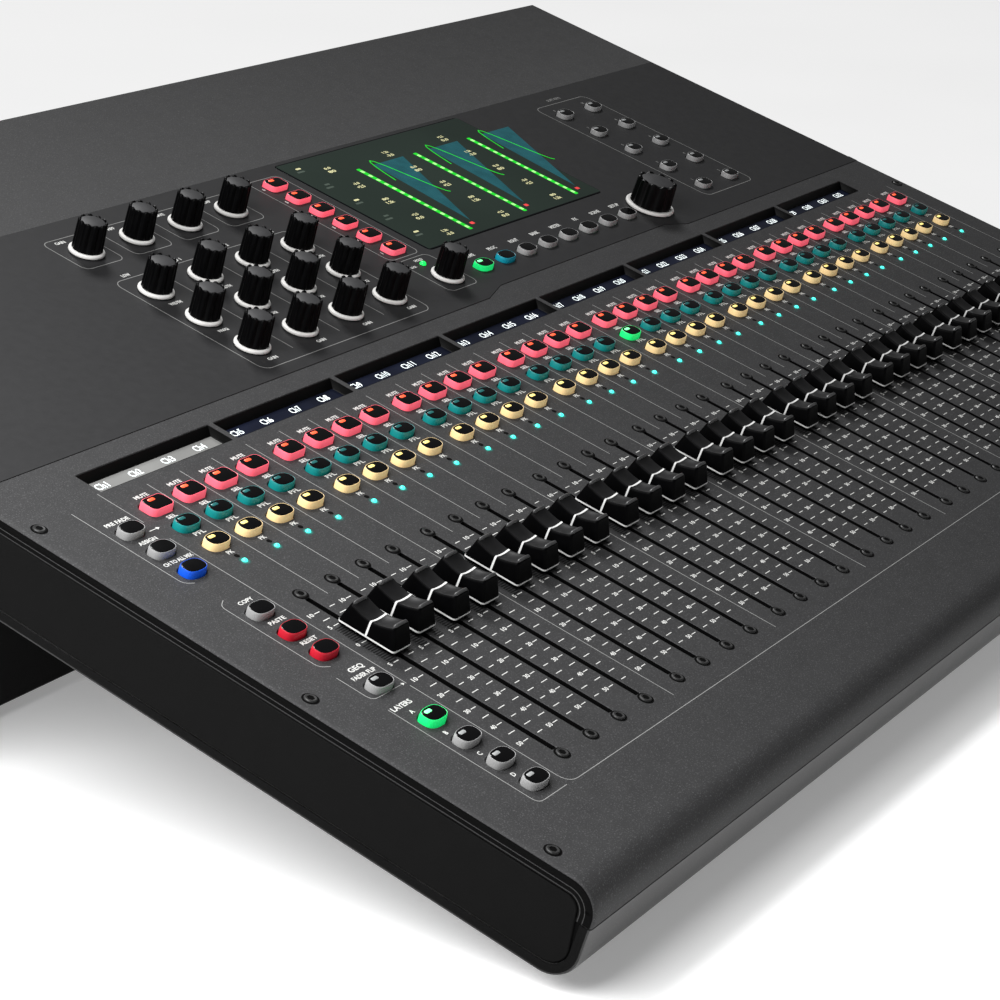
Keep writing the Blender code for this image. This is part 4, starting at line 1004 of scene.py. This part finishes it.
def knob_grip(size):
    """Fluted grip whose ridges stand up round a sunk top face."""
    sides = 120
    body, rim, top = KNOB_BODY, KNOB_TOP_RADIUS, KNOB_TOP
    levels = ((body - 0.3, 2.2, 0.1, 0), (body, 2.6, 0.4, 0), (body - 0.02, 4.0, 0.9, 0),
              (rim + 0.1, top - 2.2, 1.1, 0), (rim, top - 0.5, 1.1, 0.7), (rim - 0.3, top - 0.1, 0.9, 1.3),
              (rim - 0.7, top, 0.6, 1.4), (rim - 1.1, top - 0.15, 0.3, 1.3),
              (rim - 1.35, top - 0.5, 0.1, 0.3), (rim - 1.45, top - KNOB_FACE_DEPTH - 0.1, 0, 0))
    rings = []
    for radius, z, groove, notch in levels:
        ring = []
        for step in range(sides):
            turn = 2 * math.pi * step / sides
            flute = (0.5 + 0.5 * math.cos(turn * KNOB_FLUTES)) ** 2
            reach = radius * size - groove * flute
            ring.append((reach * math.cos(turn), reach * math.sin(turn), z - notch * flute))
        rings.append(ring)
    return loft(rings)


def make_knobs():
    grips = {size: knob_grip(size) for size in (1.0, WHEEL_SCALE)}
    face_z = KNOB_TOP - KNOB_FACE_DEPTH
    for name, x, y, size in knob_places():
        face, ring = (KNOB_TOP_RADIUS - 1.3) * size, KNOB_RING * size
        parts = ((grips[size], KNOB_PLASTIC),
                 (turned([(face, face_z - 0.4), (face, face_z), (face - 0.2, face_z + 0.08)], 48), KNOB_FACE),
                 (turned([(ring - 0.9, 0.75), (ring - 0.25, 0.9), (ring, 1.4), (ring - 0.08, 2.1),
                          (ring - 0.5, 2.6), (ring - 1.1, 2.7), (ring - 1.6, 2.5)], 64), KNOB_RING_LOOK),
                 # Painted shade in the gap inside the ring, round the foot of the grip.
                 (turned([(ring - 1.9, 0.5), (ring - 1.2, 0.55), (ring - 1.0, 1.0)], 48), SHADOW),
                 (turned([(3.0, -4.2), (3.0, 0.9)], 20), PLATED))
        knob = Piece(DECK)
        for shape, look in parts:
            knob.add(shape, look, x, y)
        knob.make(f"{name}_grip", "knob_plastic", [name], name, weld=False)


# ---------------------------------------------------------------- displays and lamps

def make_displays():
    frames, panels, text = Piece(DECK), Piece(DECK), Piece(DECK)
    front, rear = DISPLAY_FRONT_Y, DISPLAY_REAR_Y
    low_middle, low_height = (front + 0.25 + PANEL_REAR_Y) / 2, PANEL_REAR_Y - front - 0.25
    for index in range(DISPLAYS):
        x = display_x(index)
        opening = soft_rect(x, (front + rear) / 2, 2 * DISPLAY_HALF - 0.04, rear - front - 0.04, 0.8, 3)
        floor = soft_rect(x, low_middle, 2 * PANEL_HALF, low_height, 0.3, 3)
        outer = grow(opening, 1.0)
        levels = ((outer, -1.7), (opening, -1.7), (opening, -0.25), (grow(opening, -0.3), -0.25),
                  (grow(floor, 0.3), PANEL_Z + 0.4), (floor, PANEL_Z), (floor, PANEL_Z - 0.6),
                  (outer, PANEL_Z - 0.6), (outer, -1.7))
        frames.add(stack(*levels, close=False), BEZEL)
        panel = soft_rect(x, low_middle, 2 * PANEL_HALF + 0.6, low_height + 0.6, 0.3, 3)
        panels.add(prism(panel, PANEL_Z - 0.5, PANEL_Z), LCD_GREY if index == 0 else LCD_NAVY)
        for channel in range(4 * index + 1, 4 * index + 5):
            x, width = STRIP_XS[channel - 1] - 1.5, 7.0 if channel < 10 else 9.0
            text.add(words(f"Ch{channel}", x, front + 7.0, 3.8, width, PANEL_Z + 0.02, 0.0), LCD_TEXT)
    frames.make("strip_display_frames", "display_glass", ["strip_displays"])
    panels.make("strip_display_panels", "display_glass")
    text.make("strip_display_names", "display_glass", weld=False)


def make_touchscreen():
    width, height = SCREEN_SIZE
    glass = Piece(DECK)
    pane = soft_rect(SCREEN_X, SCREEN_Y, width, height, 2.8)
    module = soft_rect(SCREEN_X, SCREEN_Y, width - 10, height - 8, 1.5)
    edge = SCREEN_TOP - 0.25
    glass.add(stack((pane, -1.3), (pane, edge), (grow(pane, -0.25), SCREEN_TOP)), DARK_GLASS)
    glass.add(prism(module, -8.4, -1.3), ZINC)
    glass.make("touchscreen_glass", "display_glass", ["touchscreen"])

    picture = Piece(DECK)
    wide, tall = PICTURE_SIZE
    left, bottom = SCREEN_X - wide / 2, SCREEN_Y - tall / 2
    base = SCREEN_TOP + 0.02
    picture.add(prism(soft_rect(SCREEN_X, SCREEN_Y, wide, tall, 0.6, 2), SCREEN_TOP - 0.05, base), PICTURE)

    def patch(x, y, width, height, look, lift=0.02):
        outline = soft_rect(left + x, bottom + y, width, height, 0.5, 2)
        picture.add(prism(outline, base - 0.01, base + lift), look)

    for column in range(PICTURE_COLUMNS):
        line_x = 44.8 + PICTURE_PITCH * column
        start = left + line_x
        wedge = [(start + 9, bottom + 11), (start + 42, bottom + 78), (start + 14, bottom + 78)]
        picture.add(prism(wedge, base - 0.01, base + 0.01), PICTURE_BLUE)
        patch(line_x, 41.0, 3.0, 74.0, PICTURE_GREEN)
        for step in range(14):
            patch(line_x, 7.0 + 5.2 * step, 2.2, 2.4, PICTURE_LIME, 0.04)
        patch(line_x + 7.0, 8.4, 3.2, 2.2, PICTURE_RED, 0.03)
        curve = [(start + 10 + 20 * share / 12, bottom + 60 + 22 * math.sin(share / 12 * math.pi * 1.5))
                 for share in range(13)]
        picture.add(stroke(curve, 0.7), PICTURE_GREEN, 0, 0, base)
    for row in range(PICTURE_ROWS):
        y = 6.0 + 19.0 * row
        for column in range(PICTURE_COLUMNS):
            x = left + 27.5 + PICTURE_PITCH * column
            values = [PICTURE_VALUES[(row + column + skip) % len(PICTURE_VALUES)] for skip in (0, 2)]
            picture.add(words(values[0], x, bottom + y, 2.4, 6.0, base), PICTURE_PALE)
            picture.add(words(values[1], x + 0.5, bottom + y + 3.6, 2.0, 5.2, base), PICTURE_PALE)
        patch(9.0, y + 6.5, 6.0, 1.4, PICTURE_GREY)
        patch(10.5, y + 9.6, 4.0, 1.4, PICTURE_GREY if row % 2 else PICTURE_PALE)
    picture.make("touchscreen_picture", "display_glass", weld=False)


def lamp(radius, height=0.35):
    return turned([(radius * 1.05, -0.4), (radius, height * 0.15), (radius * 0.9, height * 0.5),
                   (radius * 0.65, height * 0.85), (radius * 0.3, height)], 20)


def make_lamps():
    """Signal lamps with rings of light round them, dark peak lamps, and the lamp by the screen knob."""
    lamps = Piece(DECK)
    for x in STRIP_XS:
        lamps.add(lamp(1.15, 0.9), CYAN_LED, x, LED_Y)
        for step, halo in enumerate(LED_HALOS):
            radius, height = 1.6 + 0.5 * step, 0.045 - 0.015 * step
            lamps.add(turned([(radius, -0.2), (radius, height)], 20), halo, x, LED_Y)
        lamps.add(turned([(1.2, -0.3), (1.2, 0.04)], 20), DARK_LED, x, PEAK_LED_Y)
    lamps.add(lamp(1.7, 1.5), GREEN_LED, SCREEN_KNOB[0], STATUS_LED_Y, OVERLAY_TOP)
    lamps.make("indicator_lamps", "display_glass")


# ---------------------------------------------------------------- printing

SCALE_MARKS = (("10", 109.2), ("5", 100.0), ("0", 86.8), ("5", 71.8), ("10", 60.5), ("20", 48.5),
               ("30", 36.5), ("40", 24.8), ("50", 13.0))
MIDDLE_MARKS = (104.3, 65.9, 54.3, 42.5, 30.6, 18.9)
DECK_LINE = 0.3
HATCH_LOW, HATCH_PITCH, HATCH_BARS, HATCH_GAP, HATCH_WIDTH = 72.9, 1.2, 22, 0.7, 0.55
HATCH_YS = [y for y in (HATCH_LOW + HATCH_PITCH * step for step in range(HATCH_BARS))
            if abs(y - FADER_ZERO_Y) > HATCH_GAP]
STRIP_NAMES = (("MUTE", 0.8, 201.0, 7.8), ("SEL", 0.0, 184.7, 5.6), ("PFL", 0.4, 171.0, 6.4),
               ("PK", -0.2, 155.2, 3.6))
FUNCTION_NAMES = (("PRE FADE", 193.0, 13.6), ("ASSIGN", 177.5, 10.3), ("CH TO ALL MIX", 162.3, 16.6),
                  ("COPY", 129.6, 8.4), ("PASTE", 114.5, 9.4), ("RESET", 99.4, 9.4),
                  ("FADER FLIP", 73.8, 14.0))
BORDER_FRONT, BORDER_REAR, BORDER_LEFT, BORDER_RIGHT = -12, 206, FIRST_X - 13.8, STRIP_XS[-1] + 14
ARROW_Y, GEQ_LINE_Y, SMALL_TEXT = 181.8, 61.4, 2.1
FUNCTION_LINE = FIRST_X - 34.4
EQ_COLUMNS = (("LOW", 5.4, "GAIN"), ("MID 1", 7, "HPF"), ("MID 2", 7, "GATE"), ("HIGH", 6, "COMP"))
EQ_ROWS = ("GAIN", "FREQ", "WIDTH")
SCREEN_NAMES = ("HOME", "PROC", "ROUT", "BANK", "METER", "FX", "SCENE", "SETUP")


def bar(x_low, x_high, y, width=0.38):
    return stroke([(x_low, y), (x_high, y)], width)


def arrow_head(back, tip, y, half):
    return prism([(back, y - half), (tip, y), (back, y + half)], 0, PRINT_HEIGHT)


def add_marks(ink, x, ys, spans, look=INK, width=0.38):
    """Short bars on both sides of a fader slot."""
    for y in ys:
        for low, high in spans:
            ink.add(bar(low, high, 0, width), look, x, y)


def print_strip(ink, text, x):
    """Fader scale and key names of one channel."""
    add_marks(ink, x, [y for _, y in SCALE_MARKS], ((-6.6, -3.4), (3.2, 6.4)))
    add_marks(ink, x, MIDDLE_MARKS, ((-7.5, -3.4), (3.2, 7.3)))
    add_marks(ink, x, HATCH_YS, ((-8.2, -3.5), (3.5, 7.6)), HATCH_INK, HATCH_WIDTH)
    for label, y in SCALE_MARKS:
        text.add(words(label, x - 8.9, y, SMALL_TEXT, 1.45 * len(label)), INK)
    for label, shift, y, width in STRIP_NAMES:
        text.add(words(label, x + shift, y, 2.15, width), INK)


def make_deck_printing():
    ink, text = Piece(DECK), Piece(DECK)
    for x in STRIP_XS:
        print_strip(ink, text, x)
    lines = []
    for index, (left, right) in enumerate(zip(STRIP_XS, STRIP_XS[1:])):
        low = -5.5 if index % 4 == 3 else 115.3
        lines.append([((left + right) / 2, low), ((left + right) / 2, BORDER_REAR)])
    lines.append([(BORDER_LEFT, 211), (BORDER_LEFT, 187.3)])
    for line in lines:
        ink.add(stroke(line, DECK_LINE), LINE_INK)
    ink.add(bar(BORDER_LEFT - 3.0, BORDER_LEFT + 1.4, ARROW_Y), INK)
    ink.add(arrow_head(BORDER_LEFT + 1.2, BORDER_LEFT + 3.0, ARROW_Y, 0.9), INK)
    ink.add(stroke([(BORDER_LEFT, 174.2), (BORDER_LEFT, 60.8)], DECK_LINE), LINE_INK)
    border = [(BORDER_LEFT, 59.2), (BORDER_LEFT, BORDER_FRONT), (BORDER_RIGHT, BORDER_FRONT),
              (BORDER_RIGHT, BORDER_REAR)]
    ink.add(stroke(rounded(border, 6), DECK_LINE), LINE_INK)
    edge, inner = FUNCTION_LINE, FUNCTION_LINE + 4.2
    for outline in ([(edge, BORDER_REAR), (edge, 150.5), (inner, 148.2)],
                    [(inner, 134.6), (edge, 132.3), (edge, 86.2), (inner, 83.9)],
                    [(edge, 78), (edge, GEQ_LINE_Y), (FIRST_X - 15.7, GEQ_LINE_Y)],
                    [(edge, 54.5), (edge, -11.8), (FIRST_X - 15.5, -11.8)]):
        ink.add(stroke(rounded(outline, 3.5), DECK_LINE), LINE_INK)
    ink.add(arrow_head(FIRST_X - 15.9, FIRST_X - 14.4, GEQ_LINE_Y, 0.8), INK)
    for label, y, width in FUNCTION_NAMES:
        text.add(words(label, FUNCTION_X + 1.5, y, SMALL_TEXT, width), INK)
    text.add(words("GEQ", FUNCTION_X + 2.0, 77.8, 3.0, 8.6), INK)
    text.add(words("LAYERS", FUNCTION_X - 3.0, 53.4, 2.5, 11.6), INK)
    for label, y in zip("ABCD", FUNCTION_YS[-4:]):
        text.add(words(label, FUNCTION_X - 3.0, y + 7.2, SMALL_TEXT), INK)
    ink.make("deck_lines", "deck_powder_coat", weld=False)
    text.make("deck_lettering", "deck_powder_coat", weld=False)


def make_control_printing():
    ink, text = Piece(DECK), Piece(DECK)
    columns = [PEQ_X + PEQ_PITCH * index for index in range(PEQ_COLUMNS)]
    ink.add(box_line(columns[0] - 12.0, columns[-1] + 12.1, 243.6, 331.6, 5.0), PANEL_INK)
    for left, right in zip(columns, columns[1:]):
        middle = (left + right) / 2
        ink.add(stroke([(middle, 251), (middle, 327)]), PANEL_INK)
    for index, (x, (label, width, _)) in enumerate(zip(columns, EQ_COLUMNS)):
        text.add(words(label, x, 334.4, 2.2, width), INK)
        for y, mark in zip(PEQ_YS, EQ_ROWS):
            text.add(words(mark, x + 0.6 + 0.7 * index, y - 11.4, SMALL_TEXT, 1.6 * len(mark)), INK)
            text.add(words("0", x + 9.6, y + 7.4, 1.9, 1.5), INK)
    for x, (_, _, label) in zip(columns, EQ_COLUMNS):
        ink.add(box_line(x - 13.6, x + 13.6, 346.0, 373.6, 4.0), PANEL_INK)
        text.add(words(label, x - 4.0, 370.6, SMALL_TEXT, 1.6 * len(label)), INK)
    ink.add(box_line(MUTE_GROUP_X - 12.6, MUTE_GROUP_X + 12.8, 285.2, 376.4, 4.0), PANEL_INK)
    for index, (x, y) in enumerate(mute_group_places()):
        text.add(words(str(index + 1), x - 9.4, y, SMALL_TEXT), INK)
    knob_x = SCREEN_KNOB[0]
    ink.add(box_line(knob_x - 12.0, knob_x + 12.6, 249.8, 282.6, 4.0), PANEL_INK)
    text.add(words("HOLD", knob_x + 1.5, 279.6, 2.0, 6.4), INK)
    text.add(words("LOCK", knob_x - 8.2, 275.6, 1.6, 4.4), INK)
    for (x, y), label in zip(screen_key_places(), SCREEN_NAMES):
        text.add(words(label, x + 3.6, y + 10.8, 2.6, 1.9 * len(label)), INK)
    ink.add(box_line(SOFT_KEY_X - 12, SOFT_KEY_X + SOFT_KEY_PITCH_X + 12, 252, 372, 5.0), PANEL_INK)
    for index, (x, y) in enumerate(soft_key_places()):
        text.add(words(str(index + 1), x, y + 7.4, 1.9), PANEL_INK)
    text.add(words("SOFT KEYS", SOFT_KEY_X + SOFT_KEY_PITCH_X / 2, 376.5, 2.2), PANEL_INK)
    for piece in (ink, text):
        piece.points = [(x, y, z + OVERLAY_TOP) for x, y, z in piece.points]
    ink.make("control_lines", "control_overlay", weld=False)
    text.make("control_lettering", "control_overlay", weld=False)


# ---------------------------------------------------------------- rear panel

def rear_places(first, count, ys):
    return [(first + SOCKET_PITCH * column, y) for y in ys for column in range(count)]


def make_rear_panel():
    low, high = corners("rear_panel")
    outline = [(-high.x, low.z), (high.x, low.z), (high.x, high.z), (-high.x, high.z)]
    inputs, outputs = rear_places(INPUT_X, INPUTS, INPUT_YS), rear_places(OUTPUT_X, OUTPUTS, (OUTPUT_Y,))
    holes = [circle(x, y, SOCKET_HOLE, 32) for x, y in inputs + outputs]
    width, height = PORT_SIZE
    holes += [soft_rect(x, PORT_Y, width + 0.6, height + 0.6, 0.8, 2) for x in PORT_XS]
    width, height = POWER_FRAME_SIZE
    holes.append(soft_rect(POWER_FRAME_X, INLET_Y, width + 0.4, height + 0.4, 1.0, 2))
    holes += [soft_rect(x + VENT_PITCH * step, VENT_Y, *VENT_SIZE, 1.5, 4)
              for x in VENT_XS for step in range(VENT_SLOTS)]
    panel = Piece(REAR)
    panel.add(plate(outline, -2.0, 0, holes, 0.3), REAR_COAT)
    for x, y in inputs + outputs:
        for dx, dy in ((-9.2, 10.6), (9.2, -10.6)):
            add_screw(panel, 1.5, x + dx, y + dy, 0.6)
    for x in REAR_SCREW_XS:
        for y in REAR_SCREW_YS:
            add_screw(panel, 2.6, x, y)
    # A black sheet behind the vents: the painted shade seen through them.
    vent_shade = [(-385, 40), (222, 40), (222, 84), (-385, 84)]
    panel.add(prism(vent_shade, -4.0, -3.4), SHADOW)
    panel.make("rear_panel_shell", "case_powder_coat", ["rear_panel"])

    text = Piece(REAR)
    for places in (inputs, outputs):
        for index, (x, y) in enumerate(places):
            text.add(words(str(index + 1), x, y - 14.6, 2.6), PANEL_INK)
    titles = (("INPUTS", INPUT_X + SOCKET_PITCH * (INPUTS - 1) / 2, 170.0, 4.0),
              ("OUTPUTS", OUTPUT_X + SOCKET_PITCH * (OUTPUTS - 1) / 2, 170.0, 4.0),
              ("NETWORK", sum(PORT_XS) / 2, 101.5, 3.0), ("POWER", POWER_FRAME_X, 30.5, 3.2))
    for label, x, y, height in titles:
        text.add(words(label, x, y, height), PANEL_INK)
    text.make("rear_lettering", "case_powder_coat", weld=False)


def pin_places(sign):
    turns = [math.radians(turn) for turn in (90, 210, 330)]
    return [(PIN_CIRCLE * math.cos(turn), sign * PIN_CIRCLE * math.sin(turn)) for turn in turns]


def make_socket_board(piece, name, node):
    """Board behind the sockets, and the end of their piece."""
    low, high = corners(node)
    board = [(-high.x, low.z), (-low.x, low.z), (-low.x, high.z), (-high.x, high.z)]
    piece.add(prism(board, SOCKET_REAR - 1.6, SOCKET_REAR), BOARD)
    piece.make(name, "socket_shell", [node])


def make_sockets():
    shell = [(SOCKET_RADIUS, SOCKET_REAR), (SOCKET_RADIUS, 1.2), (SOCKET_RADIUS - 0.4, 1.6)]
    female = Piece(REAR)
    for x, y in rear_places(INPUT_X, INPUTS, INPUT_YS):
        body = turned(shell + [(9.4, 1.6), (9.2, 1.2), (9.2, -0.4), (8.9, -0.6)], 40)
        female.add(body, SOCKET_PLASTIC, x, y)
        female.add(turned([(8.7, -0.8), (8.7, 0.5), (8.3, 0.8)], 40), SOCKET_PLASTIC, x, y)
        for px, py in pin_places(-1):
            female.add(turned([(1.75, 0.3), (1.75, 0.86)], 16), PLATED, x + px, y + py)
            # Painted shade in each contact hole.
            female.add(turned([(1.25, 0.3), (1.25, 0.9)], 16), SHADOW, x + px, y + py)
        latch = soft_rect(0, 8.9, 6.4, 3.2, 0.8, 3)
        female.add(stack((latch, 0.2), (latch, 2.0), (grow(latch, -0.4), 2.4)), PLATED, x, y)
    make_socket_board(female, "input_socket_shells", "input_sockets")

    male = Piece(REAR)
    for x, y in rear_places(OUTPUT_X, OUTPUTS, (OUTPUT_Y,)):
        male.add(turned(shell + [(8.9, 1.6), (8.6, 1.2), (8.6, -10.2)], 40), SOCKET_PLASTIC, x, y)
        # Painted shade on the floor of the cup.
        male.add(turned([(8.5, -10.3), (8.5, -10.2)], 40), SHADOW, x, y)
        for px, py in pin_places(1):
            pin = turned([(1.2, -10.3), (1.2, -1.6), (0.9, -1.0), (0.3, -0.8)], 16)
            male.add(pin, PLATED, x + px, y + py)
        male.add(prism(soft_rect(0, -7.9, 2.2, 1.4, 0.3, 2), -10.2, 0.6), SOCKET_PLASTIC, x, y)
    for x in PORT_XS:
        mouth, case = soft_rect(0, 0, *PORT_MOUTH, 0.4, 2), soft_rect(0, 0, *PORT_SIZE, 0.8, 2)
        rim = ((grow(case, -0.3), 0.4), (mouth, 0.4), (mouth, -11.6))
        male.add(stack((case, SOCKET_REAR), (case, 0.1), *rim), PLATED, x, PORT_Y)
        for step in range(8):
            male.add(prism(soft_rect(-3.5 + step, 3.9, 0.45, 0.5, 0.1, 2), -10.5, -1.0), GOLD, x, PORT_Y)
        for side, look in ((-1, GREEN_LED), (1, CUE_WINDOW)):
            male.add(prism(soft_rect(side * 7.9, 5.6, 2.0, 1.4, 0.2, 2), 0.3, 0.45), look, x, PORT_Y)
    make_socket_board(male, "output_socket_shells", "output_sockets")


def make_power_entry():
    entry = Piece(REAR)
    frame_outline = soft_rect(POWER_FRAME_X, INLET_Y, *POWER_FRAME_SIZE, 1.5, 4)
    half, rise, chamfer = INLET_MOUTH[0] / 2, INLET_MOUTH[1] / 2, 4.5
    corner = [(half, 0.2 - rise), (half, rise - chamfer), (half - chamfer, rise)]
    mouth = [(-half, 0.2 - rise)] + corner + [(chamfer - half, rise), (-half, rise - chamfer)]
    mouth = [(INLET_X + x, INLET_Y + y) for x, y in mouth]
    bay = soft_rect(ROCKER_X, INLET_Y, 15.8, 19.8, 0.6, 3)
    entry.add(plate(frame_outline, -19.9, 2.0, [mouth, bay], 0.4), SOCKET_PLASTIC)
    entry.add(prism(grow(mouth, 0.6), -15.5, -15.0), SOCKET_PLASTIC)
    # Painted shade at the bottom of the rocker's bay.
    entry.add(prism(grow(bay, 0.6), -15.5, -15.0), SHADOW)
    for dx, dy in ((-7.0, -2.6), (0.0, 2.4), (7.0, -2.6)):
        blade = soft_rect(INLET_X + dx, INLET_Y + dy, 2.0, 4.2, 0.3, 2)
        entry.add(stack((blade, -15.2), (blade, -3.4), (grow(blade, -0.4), -2.8)), PLATED)
    entry.make("mains_inlet_frame", "socket_shell", ["mains_inlet"])


def paint_kept_nodes():
    """The inner parts and the power rocker keep their CAD shapes."""
    for name, look in (("control_board", BOARD), ("key_board", BOARD), ("main_board", BOARD),
                       ("fader_mechanisms", SHADED_MECHANISM), ("power_supply", ZINC),
                       ("power_rocker", KEY_CAP)):
        mesh = frame["nodes"][name].data
        mesh.materials.clear()
        mesh.materials.append(look)


# ---------------------------------------------------------------- studio

CAMERA_PLACE = (-1.1007, -0.6518, 0.4544)
CAMERA_LOOK = (0.80606, 0.49714, -0.32113)
CAMERA_ROLL = math.radians(1.351)
CAMERA_LENS = 97.4
SKY_STRENGTH = 0.08
SUN_PLACE, SUN_ENERGY, SUN_ANGLE = (1.15, 1.35, 2.45), 2.25, math.radians(16)
WINDOW_PLACE, WINDOW_TARGET, WINDOW_ENERGY, WINDOW_SIZE = (-0.75, -0.03, 0.56), (-0.42, -0.16, 0.1), 8.5, 0.6
# Metres to the edge of the floor, far enough out that the horizon looks straight and pale.
FLOOR_REACH = 60.0


def make_camera():
    camera_data = bpy.data.cameras.new("camera")
    camera_data.lens = CAMERA_LENS
    camera_data.sensor_width = 36.0
    camera_data.clip_start, camera_data.clip_end = 0.05, 50.0
    camera = add_object("camera", camera_data)
    camera.rotation_mode = "QUATERNION"
    camera.location = CAMERA_PLACE
    level = Vector(CAMERA_LOOK).to_track_quat("-Z", "Y")
    camera.rotation_quaternion = level @ Quaternion((0, 0, 1), CAMERA_ROLL)
    bpy.context.scene.camera = camera


def make_lamp(name, kind, place, target, energy):
    lamp_data = bpy.data.lights.new(name, kind)
    lamp_data.energy = energy
    holder = add_object(name, lamp_data)
    holder.location = place
    holder.rotation_mode = "QUATERNION"
    holder.rotation_quaternion = (Vector(target) - Vector(place)).to_track_quat("-Z", "Y")
    return lamp_data


def make_studio():
    bpy.context.scene.view_settings.view_transform = "Standard"
    world = bpy.data.worlds.new("studio")
    bpy.context.scene.world = world
    world.use_nodes = True
    sky = world.node_tree.nodes["Background"].inputs
    sky["Color"].default_value = (1, 1, 1, 1)
    sky["Strength"].default_value = SKY_STRENGTH
    make_lamp("overhead_light", "SUN", SUN_PLACE, (0, 0, 0), SUN_ENERGY).angle = SUN_ANGLE
    make_lamp("window_light", "AREA", WINDOW_PLACE, WINDOW_TARGET, WINDOW_ENERGY).size = WINDOW_SIZE

    floor_look = surface("studio_floor", (0.85, 0.85, 0.85), 0.7, 40, 0.0, 0.01, glow=0.3)
    mesh = bpy.data.meshes.new("studio_floor")
    corner_signs = ((-1, -1), (1, -1), (1, 1), (-1, 1))
    mesh.from_pydata([(x * FLOOR_REACH, y * FLOOR_REACH, 0) for x, y in corner_signs], [], [(0, 1, 2, 3)])
    mesh.materials.append(floor_look)
    add_object("studio_floor", mesh)


make_camera()
make_studio()
make_deck_panel()
make_control_panel()
make_rear_cover()
make_front_tray()
make_cheeks()
make_pod_tray()
make_feet()
make_deck_screws()
make_keys()
make_faders()
make_knobs()
make_displays()
make_touchscreen()
make_lamps()
make_deck_printing()
make_control_printing()
make_rear_panel()
make_sockets()
make_power_entry()
paint_kept_nodes()
